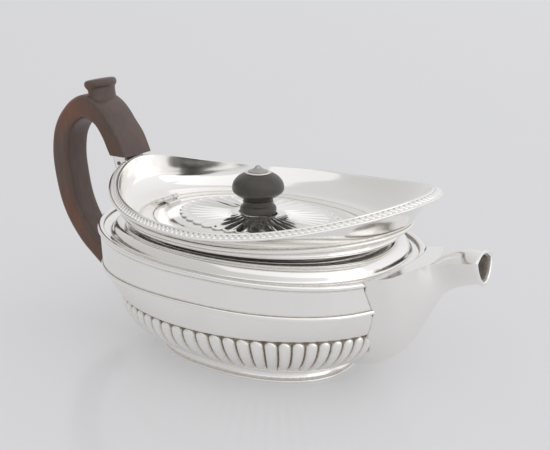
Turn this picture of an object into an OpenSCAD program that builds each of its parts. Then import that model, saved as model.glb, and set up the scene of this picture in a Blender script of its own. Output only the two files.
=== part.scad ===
// Oval silver teapot: lobed body, leaf-sided spout, hinged lid, wooden handle and knob.
// Millimetres. +X runs to the spout, +Z is up. The origin is the middle of the foot's lower edge.

/* [Foot] */
// Half length of the foot where it stands
foot_half_length = 54.3; // [50:0.1:58]
// Half width of the foot where it stands
foot_half_width = 38.6; // [35:0.1:42]
// Height of the foot
foot_height = 4.4; // [3.6:0.1:6]
// How far the foot draws in from its lower edge to its top
foot_taper = 2.6; // [1.5:0.1:3.5]

/* [Body] */
// Thickness of the silver sheet
sheet = 1.2; // [0.9:0.1:1.5]
// Height of the tops of the lobes above the foot
lobe_height = 25.6; // [22:0.1:29]
// Half length of the body at the tops of the lobes
lobe_half_length = 78.5; // [75:0.1:81]
// Half width of the body at the tops of the lobes
lobe_half_width = 59.8; // [56:0.1:62]
// Number of lobes round the body
lobe_count = 68; // [56:1:72]
// Depth of the valleys between the lobes
lobe_depth = 1.6; // [0.8:0.1:2]
// Height of the plain flared band above the lobes
band_height = 13.2; // [10:0.1:17]
// Half length of the frieze at its lower edge
frieze_half_length = 84; // [80:0.1:88]
// Half width of the frieze at its lower edge
frieze_half_width = 63.8; // [60:0.1:67]
// Height of the frieze between the two wires
frieze_height = 13.6; // [10:0.1:18]
// How far the frieze leans out from its lower edge to its top
frieze_flare = 1; // [0:0.1:2.5]
// Height of the wire above and of the wire below the frieze
wire_height = 2.5; // [1.8:0.1:3.2]
// How far both wires stand out from the frieze
wire_overhang = 1; // [0.6:0.1:1.6]
// How far the upper wire reaches inward over the edge of the deck
wire_inset = 2.2; // [1.8:0.1:3]
// Dip of the upper edge of the frieze at the spout
edge_dip_front = 1.5; // [0:0.1:3]
// Rise of the upper edge of the frieze at the handle
edge_rise_rear = 5.4; // [3:0.1:7]
// Diameter of each strainer hole behind the spout
strainer_hole = 3; // [2:0.1:3.6]
// Distance between neighbouring strainer holes
strainer_pitch = 5.2; // [4.6:0.1:6]

/* [Shoulder and throat] */
// Height of the top of the cushion above the frieze
cushion_height = 7.2; // [5.5:0.1:8]
// Half length of the throat
throat_half_length = 65.2; // [63.5:0.1:68]
// Half width of the throat
throat_half_width = 49.2; // [47.5:0.1:51]
// Height of the ledge round the lid above the frieze
ledge_height = 10.7; // [9.8:0.1:13]

/* [Cape] */
// Half length of the cape at its rim
rim_half_length = 86.3; // [83:0.1:90]
// Half width of the cape at its rim
rim_half_width = 67; // [64:0.1:71]
// Height of the rim above the ledge at the sides
rim_height = 11.8; // [10:0.1:15]
// Further rise of the rim at the spout
rim_rise_front = 14.6; // [9:0.1:17]
// Further rise of the rim at the handle
rim_rise_rear = 10.8; // [7:0.1:13]
// How far the middle of the rim lies toward the spout
rim_shift = 6.8; // [4:0.1:8]
// Width of the gadrooned border
border_width = 4.5; // [3.6:0.1:5.5]
// Height of the gadrooned border
border_height = 3.4; // [2.6:0.1:4.4]
// Number of gadroons round the border
gadroon_count = 172; // [130:1:180]
// Height of a gadroon above the gaps beside it
gadroon_depth = 0.5; // [0.3:0.1:0.8]
// Size of each reed on the moulding under the cape
reed = 2.2; // [1.8:0.1:2.6]

/* [Lid] */
// Width of the ledge between the lid and the outside of the throat
ledge_width = 7.2; // [6.4:0.1:9]
// Running gap between the lid and the ledge round it
lid_gap = 0.6; // [0.4:0.1:0.9]
// Height of the lid's middle above its edge
lid_dome = 1.5; // [1:0.1:2.5]
// Depth of the bezel below the lid
bezel_depth = 5; // [3:0.1:7]
// Width of the plain lid in front of and behind the fluted patera
patera_end_margin = 13.4; // [11.5:0.1:18]
// Width of the plain lid beside the fluted patera
patera_side_margin = 9.3; // [8:0.1:13]
// Thickness of the patera at its edge
patera_thickness = 0.8; // [0.6:0.1:1.2]
// Number of flutes in the patera
flute_count = 36; // [24:1:40]
// How far the lid swings open, in degrees
lid_open = 90; // [60:1:92]

/* [Lid hinge] */
// Radius of the hinge barrel
barrel_radius = 1.5; // [1.3:0.1:1.8]
// Radius of the hinge pin
hinge_pin_radius = 0.75; // [0.6:0.05:0.85]
// Length of the middle knuckle, on the lid
lid_knuckle_length = 8; // [6:0.5:12]
// Length of each outer knuckle, on the pot
pot_knuckle_length = 4; // [3:0.5:6]
// Radial play of every pin in its bore
pin_play = 0.05; // [0.02:0.01:0.1]
// Play between the ends of neighbouring knuckles
knuckle_play = 0.3; // [0.3:0.05:0.5]

/* [Knob] */
// Radius of the silver collar under the knob
collar_radius = 8.6; // [8:0.1:11]
// Thickness of the silver collar
collar_thickness = 0.8; // [0.6:0.1:1.2]
// Radius of the wooden knob at its foot
knob_foot_radius = 9.3; // [8.8:0.1:10.8]
// Radius of the wooden knob at its waist
knob_waist_radius = 7.1; // [5.5:0.1:8]
// Largest radius of the wooden knob
knob_radius = 13.2; // [11.5:0.1:14.5]
// Height of the wooden knob
knob_height = 20.3; // [18:0.1:24]
// Radius of the silver washer on the knob
washer_radius = 6.8; // [5.6:0.1:7.6]
// Thickness of that washer
washer_thickness = 0.8; // [0.6:0.1:1.4]
// Height of the finial nut
finial_height = 3.1; // [2.6:0.1:5]
// Radius of the bolt through the knob
bolt_radius = 1.5; // [1.2:0.05:1.8]

/* [Handle] */
// Width of the wooden handle at its front, above the upper socket
handle_width = 22; // [19:0.1:23]
// Thickness of the wooden handle at its back
handle_thickness = 11.6; // [10:0.1:12]
// How far the handle reaches back from the upper socket
handle_reach = 46; // [40:0.1:50]
// Height of the top of the handle's curve above the upper socket
handle_crest = 24.6; // [22:0.1:27]
// Length of the thumbpiece
thumb_length = 12.5; // [11:0.1:15]
// Width of the thumbpiece
thumb_width = 20.4; // [18:0.1:22]
// Thickness of both sockets where the wood meets them
socket_thickness = 12; // [10.8:0.1:12.8]
// Width of both sockets where the wood meets them
socket_width = 17.4; // [15.6:0.1:18.6]
// Depth of the wooden tenon in each socket
tenon_depth = 8; // [6:0.1:8.5]
// Gap between a tenon and its socket
tenon_gap = 0.1; // [0.05:0.01:0.2]
// Height of the upper socket
upper_socket_height = 10.7; // [9.5:0.1:12]
// How far the upper socket stands up above the rim
upper_socket_rise = 1; // [0.6:0.1:3]
// How far the end of the lower socket stands back from the lobes
lower_socket_reach = 9.5; // [7:0.1:13]
// Height of the end of the lower socket above the foot
lower_socket_height = 19.6; // [17:0.1:23]
// Radius of the two handle pins
handle_pin_radius = 1; // [0.8:0.05:1.2]

/* [Spout] */
// How far the mouth of the spout stands out from the frieze
spout_reach = 36.5; // [32:0.5:40]
// Half width of the spout where it leaves the frieze
spout_root_half_width = 31.5; // [28:0.1:34]
// Half width of the spout at its narrowest
spout_neck_half_width = 5.8; // [5.2:0.1:7]
// Half width of the spout at its mouth
spout_mouth_half_width = 8.3; // [7.4:0.1:9.5]
// Height of the mouth of the spout
spout_mouth_height = 11.6; // [10:0.1:13]
// Rise of the spout's upper edge from the frieze to the mouth
spout_rise = 11.7; // [8:0.1:14]
// Height of the arched hood above the spout's upper edges where it is fullest
hood_height = 4.6; // [3:0.1:6]
// Length of the lip round the mouth
lip_length = 1.4; // [1:0.1:2]

/* [Hidden] */

SILVER = "#c9c7c2";
BRIGHT_SILVER = "#dddbd6";
DARK_WOOD = "#4a3027";

// Clearance left at soldered seams between curved faces
seam = 0.05;
// Gap between the resting lid and its seat
rest_gap = 0.3;
// Segments round an oval
plan_segments = 72;
// Points on each lobe, each flute and each gadroon
points_per_lobe = 4;
points_per_gadroon = 2;
// Segments round a turned piece
turned_segments = 64;

// Roundness of the ovals: 2 is an ellipse, more is squarer, less is more pointed
foot_roundness = 2.25;
lobe_roundness = 2.02;
body_roundness = 2.35;
throat_roundness = 2.1;
rim_roundness = 1.8;
patera_roundness = 1.95;
// Power of the sweep of the frieze's edge and of the cape's rim along the body
edge_power = 1.5;
rim_power = 1.9;
rim_rear_power = 4.5;

// Heights, from the table up
bowl_z = foot_height + sheet;
lobe_top_z = foot_height + lobe_height;
lower_wire_z = lobe_top_z + band_height;
frieze_z = lower_wire_z + wire_height;
frieze_top_z = frieze_z + frieze_height;
deck_z = frieze_top_z + 0.9;
wire_top_z = frieze_top_z + wire_height;
cushion_z = frieze_top_z + cushion_height;
ledge_z = frieze_top_z + ledge_height;
rim_z = ledge_z + rim_height;
lid_dome_z = ledge_z + lid_dome;
lid_half_length = throat_half_length - ledge_width;
lid_half_width = throat_half_width - ledge_width;
patera_half_length = lid_half_length - patera_end_margin;
patera_half_width = lid_half_width - patera_side_margin;
frieze_top_half_length = frieze_half_length + frieze_flare;
frieze_top_half_width = frieze_half_width + frieze_flare;

// ---- Ovals -------------------------------------------------------------------------------

function signed_power(value, power) = sign(value) * pow(abs(value), power);
function mix(low, high, share) = low + (high - low) * share;

// An oval: half length, half width, roundness, height, rise at the front, rise at the rear,
// shift toward the spout and power of the rise
function oval(half_length, half_width, roundness, z, front = 0, rear = 0, shift = 0, power = 2,
        rear_power = undef) =
    [half_length, half_width, roundness, z, front, rear, shift, power,
        is_undef(rear_power) ? power : rear_power];

// The same oval, larger all round by out and higher by up
function grown(shape, out, up = 0) =
    [shape[0] + out, shape[1] + out, shape[2], shape[3] + up, shape[4], shape[5], shape[6],
        shape[7], shape[8]];

// The point of an oval at an angle round it
function oval_point(shape, angle) =
    let (along = signed_power(cos(angle), 2 / shape[2]),
        across = signed_power(sin(angle), 2 / shape[2]),
        rise = along > 0 ? shape[4] * pow(along, shape[7]) : shape[5] * pow(-along, shape[8]))
    [shape[6] + shape[0] * along, shape[1] * across, shape[3] + rise];

function oval_ring(shape, segments = plan_segments) =
    [for (step = [0 : segments - 1]) oval_point(shape, 360 * step / segments)];

function flat(ring) = [for (point = ring) [point[0], point[1]]];

// ---- Skins through rings of points -------------------------------------------------------

// Triangles between ring number first and ring number second, with count points each
function band_faces(first, second, count) =
    [for (step = [0 : count - 1])
        let (next = (step + 1) % count)
        each [
            [first * count + step, second * count + step, second * count + next],
            [first * count + step, second * count + next, first * count + next]
        ]];

// A closed ring: its section runs through all the rings and back to the first
module ring_solid(rings) {
    count = len(rings[0]);
    points = [for (ring = rings) each ring];
    faces = [for (row = [0 : len(rings) - 1]) each band_faces(row, (row + 1) % len(rings), count)];
    polyhedron(points = points, faces = faces, convexity = 8);
}

// A solid from a flat first ring through all the rings to a flat last ring
module capped_solid(rings) {
    count = len(rings[0]);
    last = len(rings) - 1;
    points = [for (ring = rings) each ring];
    sides = [for (row = [0 : last - 1]) each band_faces(row, row + 1, count)];
    first_cap = [for (step = [0 : count - 1]) step];
    last_cap = [for (step = [count - 1 : -1 : 0]) last * count + step];
    polyhedron(points = points, faces = concat(sides, [first_cap, last_cap]), convexity = 8);
}

// A flat oval ring of even height between an outer oval and one inset from it
module flat_ring(outer, inset, height) {
    translate([0, 0, outer[3]]) {
        linear_extrude(height) {
            difference() {
                polygon(flat(oval_ring(outer)));
                polygon(flat(oval_ring(grown(outer, -inset))));
            }
        }
    }
}

// ---- Smooth curves through chosen points -------------------------------------------------

function curve_point(before, from, to, after, share) =
    0.5 * (2 * from + (to - before) * share
        + (2 * before - 5 * from + 4 * to - after) * pow(share, 2)
        + (3 * from - before - 3 * to + after) * pow(share, 3));

function smooth(points, steps) =
    let (last = len(points) - 1)
    [for (index = [0 : last - 1], step = [0 : steps - 1])
        curve_point(points[max(index - 1, 0)], points[index], points[index + 1],
            points[min(index + 2, last)], step / steps),
        points[last]];

// ---- Foot and bowl -----------------------------------------------------------------------

foot_lower = oval(foot_half_length, foot_half_width, foot_roundness, 0);
foot_upper = grown(foot_lower, -foot_taper, foot_height);
foot_bead = 1.2;
foot_bead_width = foot_taper * 0.65 + sheet;

module foot_ring() {
    color(SILVER) {
        flat_ring(foot_lower, foot_bead_width, foot_bead);
        ring_solid([
            oval_ring(grown(foot_lower, -foot_taper * 0.2, foot_bead)),
            oval_ring(grown(foot_lower, -foot_taper * 0.65, foot_bead * 1.5)),
            oval_ring(foot_upper),
            oval_ring(grown(foot_upper, -sheet)),
            oval_ring(grown(foot_lower, -foot_bead_width, foot_bead))
        ]);
    }
}

module base_plate() {
    color(SILVER) translate([0, 0, foot_height]) linear_extrude(sheet) {
        polygon(flat(oval_ring(foot_upper)));
    }
}

bowl_segments = lobe_count * points_per_lobe;
// How full each point of a lobe is, from the valley at its side to its crown
lobe_section = [0, 0.75, 1, 0.75];
// Outline of the bowl's lobed part: share of the way up, and share of the lobe's depth
lobe_rows = [[0, 0.5], [0.12, 0.9], [0.32, 1], [0.6, 1], [0.93, 1], [1, 0.1]];

// How far out the lobed part has bulged at a share of the way up
function bulge(up) = pow(1 - pow(1 - up, 2), 0.8);

lobe_lower = grown(foot_upper, 0, sheet);
lobe_upper = oval(lobe_half_length, lobe_half_width, lobe_roundness, lobe_top_z);
bowl_upper = oval(frieze_half_length - sheet / 2, frieze_half_width - sheet / 2, body_roundness,
    lower_wire_z);
band_bulge = 0.6;

function mixed_oval(low, high, up, out) =
    oval(mix(low[0], high[0], out), mix(low[1], high[1], out), mix(low[2], high[2], up),
        mix(low[3], high[3], up));

function lobed_ring(shape, depth) =
    [for (step = [0 : bowl_segments - 1])
        let (valley = lobe_depth * depth * (lobe_section[step % points_per_lobe] - 1))
        oval_point(grown(shape, valley), 360 * step / bowl_segments)];

function bowl_outside(out = 0) = concat(
    [for (row = lobe_rows)
        lobed_ring(grown(mixed_oval(lobe_lower, lobe_upper, row[0], bulge(row[0])), out), row[1])],
    [oval_ring(grown(mixed_oval(lobe_upper, bowl_upper, 0.5, 0.5), out + band_bulge),
        bowl_segments),
        oval_ring(grown(bowl_upper, out), bowl_segments)]);

module lobed_bowl() {
    inside = -sheet - lobe_depth;
    color(SILVER) difference() {
        ring_solid(concat(bowl_outside(), [
            oval_ring(grown(bowl_upper, -sheet), bowl_segments),
            oval_ring(grown(lobe_upper, inside), bowl_segments),
            oval_ring(grown(mixed_oval(lobe_lower, lobe_upper, 0.6, bulge(0.6)), inside),
                bowl_segments),
            oval_ring(grown(mixed_oval(lobe_lower, lobe_upper, 0.2, bulge(0.2)), inside),
                bowl_segments),
            oval_ring(grown(lobe_lower, inside), bowl_segments)
        ]));
        strainer_row(lower_wire_z - strainer_pitch, 4, lobe_half_length - 4 * sheet);
    }
}

// ---- Wires and frieze --------------------------------------------------------------------

frieze_lower = oval(frieze_half_length, frieze_half_width, body_roundness, frieze_z);

// An oval of the swept upper edge, inset from the top of the frieze
function edge_oval(out, z, share = 1) =
    let (size = (frieze_top_half_length + out) / frieze_top_half_length,
        sweep = pow(size, edge_power) * share)
    oval(frieze_top_half_length + out, frieze_top_half_width + out, body_roundness, z,
        -edge_dip_front * sweep, edge_rise_rear * sweep, 0, edge_power);

module lower_wire() {
    inner = grown(bowl_upper, -sheet);
    wire_out = wire_overhang + sheet / 2;
    color(BRIGHT_SILVER) ring_solid([
        oval_ring(grown(bowl_upper, wire_overhang * 0.6)),
        oval_ring(grown(bowl_upper, wire_out, wire_height * 0.3)),
        oval_ring(grown(bowl_upper, wire_out, wire_height * 0.75)),
        oval_ring(grown(bowl_upper, wire_out - wire_overhang * 0.6, wire_height)),
        oval_ring(grown(inner, 0, wire_height)),
        oval_ring(inner)
    ]);
}

module frieze_band() {
    color(SILVER) difference() {
        ring_solid([
            oval_ring(frieze_lower),
            oval_ring(edge_oval(0, frieze_top_z)),
            oval_ring(edge_oval(-sheet, frieze_top_z)),
            oval_ring(grown(frieze_lower, -sheet))
        ]);
        for (row = [0.3, 0.7]) {
            strainer_row(mix(frieze_z, frieze_top_z, row), 5, frieze_half_length - 4 * sheet);
        }
    }
}

// A row of strainer holes along X through the front wall, starting at a given distance
module strainer_row(z, holes, start) {
    for (hole = [0 : holes - 1]) {
        translate([start, (hole - (holes - 1) / 2) * strainer_pitch, z]) {
            rotate([0, 90, 0]) cylinder(d = strainer_hole, h = frieze_half_length / 3, $fn = 24);
        }
    }
}

module upper_wire() {
    bottom = frieze_top_z + seam;
    color(BRIGHT_SILVER) ring_solid([
        oval_ring(edge_oval(wire_overhang * 0.4, bottom)),
        oval_ring(edge_oval(wire_overhang, bottom + wire_height * 0.3)),
        oval_ring(edge_oval(wire_overhang, bottom + wire_height * 0.75)),
        oval_ring(edge_oval(wire_overhang * 0.2, bottom + wire_height)),
        oval_ring(edge_oval(-wire_inset, bottom + wire_height * 0.8)),
        oval_ring(edge_oval(-wire_inset, bottom))
    ]);
}

// ---- Shoulder and throat -----------------------------------------------------------------

throat = oval(throat_half_length, throat_half_width, throat_roundness, 0);

// An oval of the shoulder: share of the way from the throat out to the upper wire, and height
function shoulder_oval(share, z) =
    let (edge = edge_oval(-wire_inset - seam, z), sweep = pow(share, 3))
    oval(mix(throat[0] + seam, edge[0], share), mix(throat[1] + seam, edge[1], share),
        mix(throat[2], edge[2], share), z, edge[4] * sweep, edge[5] * sweep, 0, edge_power);

// Top of the shoulder from the deck's edge over the cushion to the throat:
// share of the way out, and share of the cushion's height above the deck
shoulder_rows = [[1, 0], [0.82, 0], [0.78, 0.16], [0.72, 0.5], [0.61, 0.82], [0.44, 1],
    [0.25, 0.96], [0.1, 0.78], [0, 0.45]];

module shoulder() {
    height = cushion_z - deck_z;
    // The underside, from the throat out, lies one sheet below and inside the top
    under_rows = [[0, 0.45 - sheet / height], [0.14, 0.58], [0.27, 0.77], [0.42, 0.8],
        [0.56, 0.68], [0.65, 0.4], [0.7, 0.08], [0.75, -0.2], [1, -0.2]];
    color(SILVER) ring_solid([for (row = concat(under_rows, shoulder_rows))
        oval_ring(shoulder_oval(row[0], deck_z + height * row[1]))]);
}

throat_lower_z = mix(deck_z, cushion_z, 0.5) - 2 * sheet;

module throat_band() {
    color(SILVER) flat_ring(grown(throat, 0, throat_lower_z), sheet,
        ledge_z - sheet - throat_lower_z);
}

// ---- Cape --------------------------------------------------------------------------------

opening = oval(lid_half_length + lid_gap, lid_half_width + lid_gap, throat_roundness, ledge_z);

// The cape from the ledge to the rim: share of the way out along, share of the way out across,
// share of the way up, and how much its thickness lies outward instead of down
cape_rows = [[0, 0, 0, 0], [0.36, 0.215, 0.1, 0.3], [0.68, 0.47, 0.34, 0.6],
    [0.84, 0.73, 0.62, 0.8], [1, 1, 1, 1]];

function cape_oval(row) =
    oval(mix(throat[0], rim_half_length - sheet, row[0]),
        mix(throat[1], rim_half_width - sheet, row[1]),
        mix(throat_roundness, rim_roundness, row[2]), ledge_z + rim_height * row[2],
        rim_rise_front * row[2], rim_rise_rear * row[2], rim_shift * row[2], rim_power,
        rim_rear_power);

function cape_under(row) = grown(cape_oval(row), sheet * row[3], -sheet * sqrt(1 - pow(row[3], 2)));

module cape() {
    last = len(cape_rows) - 1;
    color(SILVER) ring_solid(concat(
        [for (row = cape_rows) oval_ring(cape_under(row))],
        [for (row = [last : -1 : 0]) oval_ring(cape_oval(cape_rows[row]))],
        [oval_ring(opening), oval_ring(grown(opening, 0, -sheet))]
    ));
}

module neck_moulding() {
    inner = grown(cape_under(cape_rows[1]), 0, -2 * seam);
    outer = grown(cape_under(cape_rows[2]), 0, -2 * seam);
    color(BRIGHT_SILVER) ring_solid([
        oval_ring(grown(inner, -reed * 0.6, -reed * 0.95)),
        oval_ring(grown(inner, -reed * 0.1, -reed * 1.05)),
        oval_ring(grown(inner, reed * 0.9, -reed * 0.65)),
        oval_ring(grown(inner, reed * 1.1, reed * 0.1)),
        oval_ring(grown(outer, -reed * 0.3, -reed * 0.9)),
        oval_ring(grown(outer, reed * 0.5, -reed * 0.3)),
        oval_ring(grown(outer, seam)),
        oval_ring(grown(inner, seam))
    ]);
}

rim = grown(cape_oval(cape_rows[len(cape_rows) - 1]), sheet + seam);
border_segments = gadroon_count * points_per_gadroon;

// A ring of the border with its gadroons, out from the rim and up from its edge
function border_ring(out, up, depth = 0) =
    [for (step = [0 : border_segments - 1])
        let (ridge = (step % points_per_gadroon) * gadroon_depth * depth)
        oval_point(grown(rim, out + ridge, up + ridge), 360 * step / border_segments)];

module cape_border() {
    color(BRIGHT_SILVER) difference() {
        ring_solid([
            border_ring(0, -border_height * 0.7),
            border_ring(border_width * 0.8, -border_height),
            border_ring(border_width, -border_height * 0.82),
            border_ring(border_width * 0.88, -border_height * 0.58, 1),
            border_ring(border_width * 0.4, -border_height * 0.1, 1),
            border_ring(0, border_height * 0.06)
        ]);
        socket_block(upper_socket_rows, seam);
    }
}

// ---- Lid seat ----------------------------------------------------------------------------

seat_width = 3;
seat_top_z = ledge_z - sheet - rest_gap;

module lid_seat() {
    color(SILVER) {
        flat_ring(grown(opening, seat_width, -sheet - rest_gap - sheet), 2 * seat_width, sheet);
        flat_ring(grown(opening, seat_width, -sheet - rest_gap), seat_width, rest_gap);
    }
}

// ---- Spout -------------------------------------------------------------------------------

// Top edge, keel and half width of the spout from inside the body to the mouth: share of the
// reach and of the rise of the top edge, share of the reach and of the depth of the keel, and
// shares of the root's, neck's and mouth's half widths
spout_rows = [
    [-0.41, 0.01, -0.96, 1, [1.1, 0, 0]],
    [-0.14, 0.16, -0.438, 0.945, [1, 0, 0]],
    [0.028, 0.29, -0.137, 0.82, [0.93, 0, 0]],
    [0.14, 0.372, 0.084, 0.667, [0.85, 0, 0]],
    [0.2, 0.419, 0.219, 0.511, [0.71, 0, 0]],
    [0.26, 0.47, 0.329, 0.374, [0.54, 0, 0]],
    [0.312, 0.507, 0.425, 0.255, [0.35, 0, 0]],
    [0.39, 0.563, 0.53, 0.141, [0, 1.05, 0]],
    [0.54, 0.665, 0.675, 0.078, [0, 1, 0]],
    [0.72, 0.79, 0.815, 0.038, [0, 0.6, 0.4]],
    [0.9, 0.92, 0.94, 0.012, [0, 0.2, 0.8]],
    [1, 1, 1, 0, [0, 0, 1]]
];
keel_depth = frieze_top_z - foot_height;
// Where along the reach the hood begins to arch
hood_start = 0.4;
// Tilt of the mouth back from upright
mouth_tilt = 6;
// Depths down a side, and places across the top, at which a section has points
side_depths = [0, 0.12, 0.26, 0.42, 0.58, 0.74, 0.88];
top_places = [0.66, 0.33, 0, -0.33, -0.66];

spout_half_widths = [spout_root_half_width, spout_neck_half_width, spout_mouth_half_width];

function spout_top(row) = [frieze_top_half_length + spout_reach * row[0],
    frieze_top_z + spout_rise * row[1]];
function spout_keel(row) = row[0] == 1
    ? spout_top(row) + spout_mouth_height * [sin(mouth_tilt), -cos(mouth_tilt)]
    : [frieze_top_half_length + spout_reach * row[2], frieze_top_z - keel_depth * row[3]];
// The hood rises quickly, is fullest two thirds of the way along and dips to the mouth
function hood_rise(row) =
    let (along = max(0, (row[0] - hood_start) / (1 - hood_start)))
    hood_height * 1.36 * sqrt(along) * (1 - pow(along, 4) / 2);

// Half width of the spout at a share of the depth from its top edge to its keel: a leaf with
// straight sides at the root, and fuller toward the mouth
function leaf_width(depth, row) =
    mix(1 - depth, sqrt(1 - pow(depth, 2)), mix(0.5, 0.85, max(0, row[0])));

// A section: made thinner by thin all round, and moved out along X by shift
function spout_ring(row, thin = 0, shift = 0) =
    let (edge = spout_top(row), keel = spout_keel(row),
        down = (keel - edge) / norm(keel - edge),
        top = edge + down * thin,
        drop = norm(keel - edge) - thin * 2.6,
        half = row[4] * spout_half_widths - thin * 1.25)
    [for (place = concat(
            [[0, 1]],
            [for (index = [len(side_depths) - 1 : -1 : 0])
                [half * leaf_width(side_depths[index], row), side_depths[index]]],
            [for (share = top_places)
                [half * share, -hood_rise(row) * (1 - pow(share, 2)) / drop]],
            [for (depth = side_depths) [-half * leaf_width(depth, row), depth]]))
        let (point = top + down * drop * place[1])
        [point[0] + shift, place[0], point[1]]];

module spout_form(thin = 0) {
    last = len(spout_rows) - 1;
    overrun = thin > 0 ? 2 * sheet : 0;
    capped_solid(concat(
        thin > 0 ? [spout_ring(spout_rows[0], thin, -overrun)] : [],
        [for (row = spout_rows) spout_ring(row, thin)],
        thin > 0 ? [spout_ring(spout_rows[last], thin, overrun)] : []));
}

// The outside of the foot, bowl, wires and frieze as one solid that runs up past the deck
module body_form() {
    top_wire = edge_oval(wire_overhang + seam, frieze_top_z);
    lower_wire_out = wire_overhang + sheet / 2 + seam;
    capped_solid(bowl_outside(seam));
    capped_solid([oval_ring(grown(bowl_upper, lower_wire_out, -seam)),
        oval_ring(grown(bowl_upper, lower_wire_out, wire_height))]);
    capped_solid([oval_ring(grown(frieze_lower, seam)),
        oval_ring(grown(frieze_lower, frieze_flare + seam, frieze_height - edge_dip_front)),
        oval_ring(oval(top_wire[0], top_wire[1], top_wire[2],
            frieze_top_z - edge_dip_front + seam)),
        oval_ring(oval(top_wire[0], top_wire[1], top_wire[2], rim_z))]);
    translate([0, 0, -seam]) linear_extrude(bowl_z + 2 * seam) {
        polygon(flat(oval_ring(grown(foot_lower, seam))));
    }
}

module spout() {
    color(SILVER) difference() {
        spout_form();
        spout_form(sheet);
        body_form();
    }
}

module spout_lip() {
    mouth = spout_rows[len(spout_rows) - 1];
    color(BRIGHT_SILVER) ring_solid([
        spout_ring(mouth, -sheet * 0.4),
        spout_ring(mouth, -sheet * 0.3, lip_length),
        spout_ring(mouth, sheet * 0.7, lip_length),
        spout_ring(mouth, sheet)
    ]);
}

// ---- Sockets, pins and handle ------------------------------------------------------------

// A rounded rectangle round a point [x, z], facing along a direction given as an angle
// up from +X, with a size across the direction in the XZ plane and a width along Y
corner_steps = 3;

function box_ring(centre, angle, thickness, width, corner) =
    let (across = [-sin(angle), cos(angle)])
    [for (quarter = [0 : 3], step = [0 : corner_steps])
        let (turn = 90 * (quarter + step / corner_steps),
            side = [width / 2 - corner, thickness / 2 - corner],
            signs = [[1, 1], [-1, 1], [-1, -1], [1, -1]][quarter],
            y = signs[0] * side[0] + corner * cos(turn),
            out = signs[1] * side[1] + corner * sin(turn))
        [centre[0] + across[0] * out, y, centre[1] + across[1] * out]];

// A bar through rows of [centre, angle, thickness, width], larger all round by out
module socket_block(rows, out = 0) {
    capped_solid([for (row = rows)
        box_ring(row[0], row[1], row[2] + 2 * out, row[3] + 2 * out, socket_corner)]);
}

socket_corner = 1.6;
rim_rear = [rim_shift - rim_half_length, rim_z + rim_rise_rear];
// The upper socket is thinner than the lower one and let into the border, and the wood above
// it stands forward over the rim
upper_socket_thickness = socket_thickness * 0.79;
upper_socket_top = rim_rear + [-upper_socket_thickness / 2 - border_width * 0.38,
    upper_socket_rise];
upper_socket_foot = upper_socket_top - [0, upper_socket_height];
upper_socket_rows = [
    [upper_socket_foot, 90, upper_socket_thickness * 0.64, socket_width * 0.86],
    [upper_socket_top, 90, upper_socket_thickness, socket_width]
];

// The lower socket leaves the bowl level and turns up to meet the wood
lower_angle = -36.5;
lower_along = [cos(lower_angle), sin(lower_angle)];
lower_socket_end = [-lobe_half_length - lower_socket_reach, foot_height + lower_socket_height];
lower_bend = lower_socket_end + lower_along * (tenon_depth + sheet);
lower_drop = tenon_depth / 4;
lower_socket_rows = [
    [lower_socket_end, lower_angle, socket_thickness, socket_width],
    [lower_bend, lower_angle, socket_thickness * 1.08, socket_width * 1.05],
    [lower_bend + [socket_thickness * 0.8, -lower_drop], -5, socket_thickness * 1.2,
        socket_width * 1.12],
    [[-foot_half_length, lower_bend[1] - lower_drop], 0, socket_thickness * 1.25,
        socket_width * 1.16]
];

upper_pin_place = mix(upper_socket_foot, upper_socket_top, 0.6);
lower_pin_place = lower_socket_end + lower_along * tenon_depth * 0.55;

// A row of [centre, angle, thickness, width] moved along its direction and made thinner
function moved_row(row, along, thin) =
    [row[0] + along * [cos(row[1]), sin(row[1])], row[1], row[2] - 2 * thin, row[3] - 2 * thin];

// The hollow of the upper socket from its floor to its mouth
upper_hollow_rows = [moved_row(upper_socket_rows[0], sheet, sheet),
    moved_row(upper_socket_rows[1], 0, sheet)];

module pin_along_y(place, radius, length) {
    translate([place[0], 0, place[1]]) {
        rotate([90, 0, 0]) cylinder(r = radius, h = length, center = true, $fn = turned_segments);
    }
}

module upper_socket() {
    color(SILVER) difference() {
        socket_block(upper_socket_rows);
        socket_block(concat(upper_hollow_rows, [moved_row(upper_socket_rows[1], sheet, sheet)]));
        pin_along_y(upper_pin_place, handle_pin_radius + pin_play, 2 * socket_width);
    }
}

module lower_socket() {
    rows = lower_socket_rows;
    color(SILVER) difference() {
        socket_block(rows);
        socket_block([
            moved_row(rows[0], -sheet, sheet),
            moved_row(rows[0], 0, sheet),
            moved_row(rows[1], 0, sheet),
            moved_row(rows[2], 0, sheet),
            moved_row(rows[3], sheet, sheet)
        ]);
        capped_solid(bowl_outside(seam));
        pin_along_y(lower_pin_place, handle_pin_radius + pin_play, 2 * socket_width);
    }
}

module upper_pin() {
    color(BRIGHT_SILVER) pin_along_y(upper_pin_place, handle_pin_radius, socket_width);
}

module lower_pin() {
    color(BRIGHT_SILVER) pin_along_y(lower_pin_place, handle_pin_radius, socket_width * 1.05);
}

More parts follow.
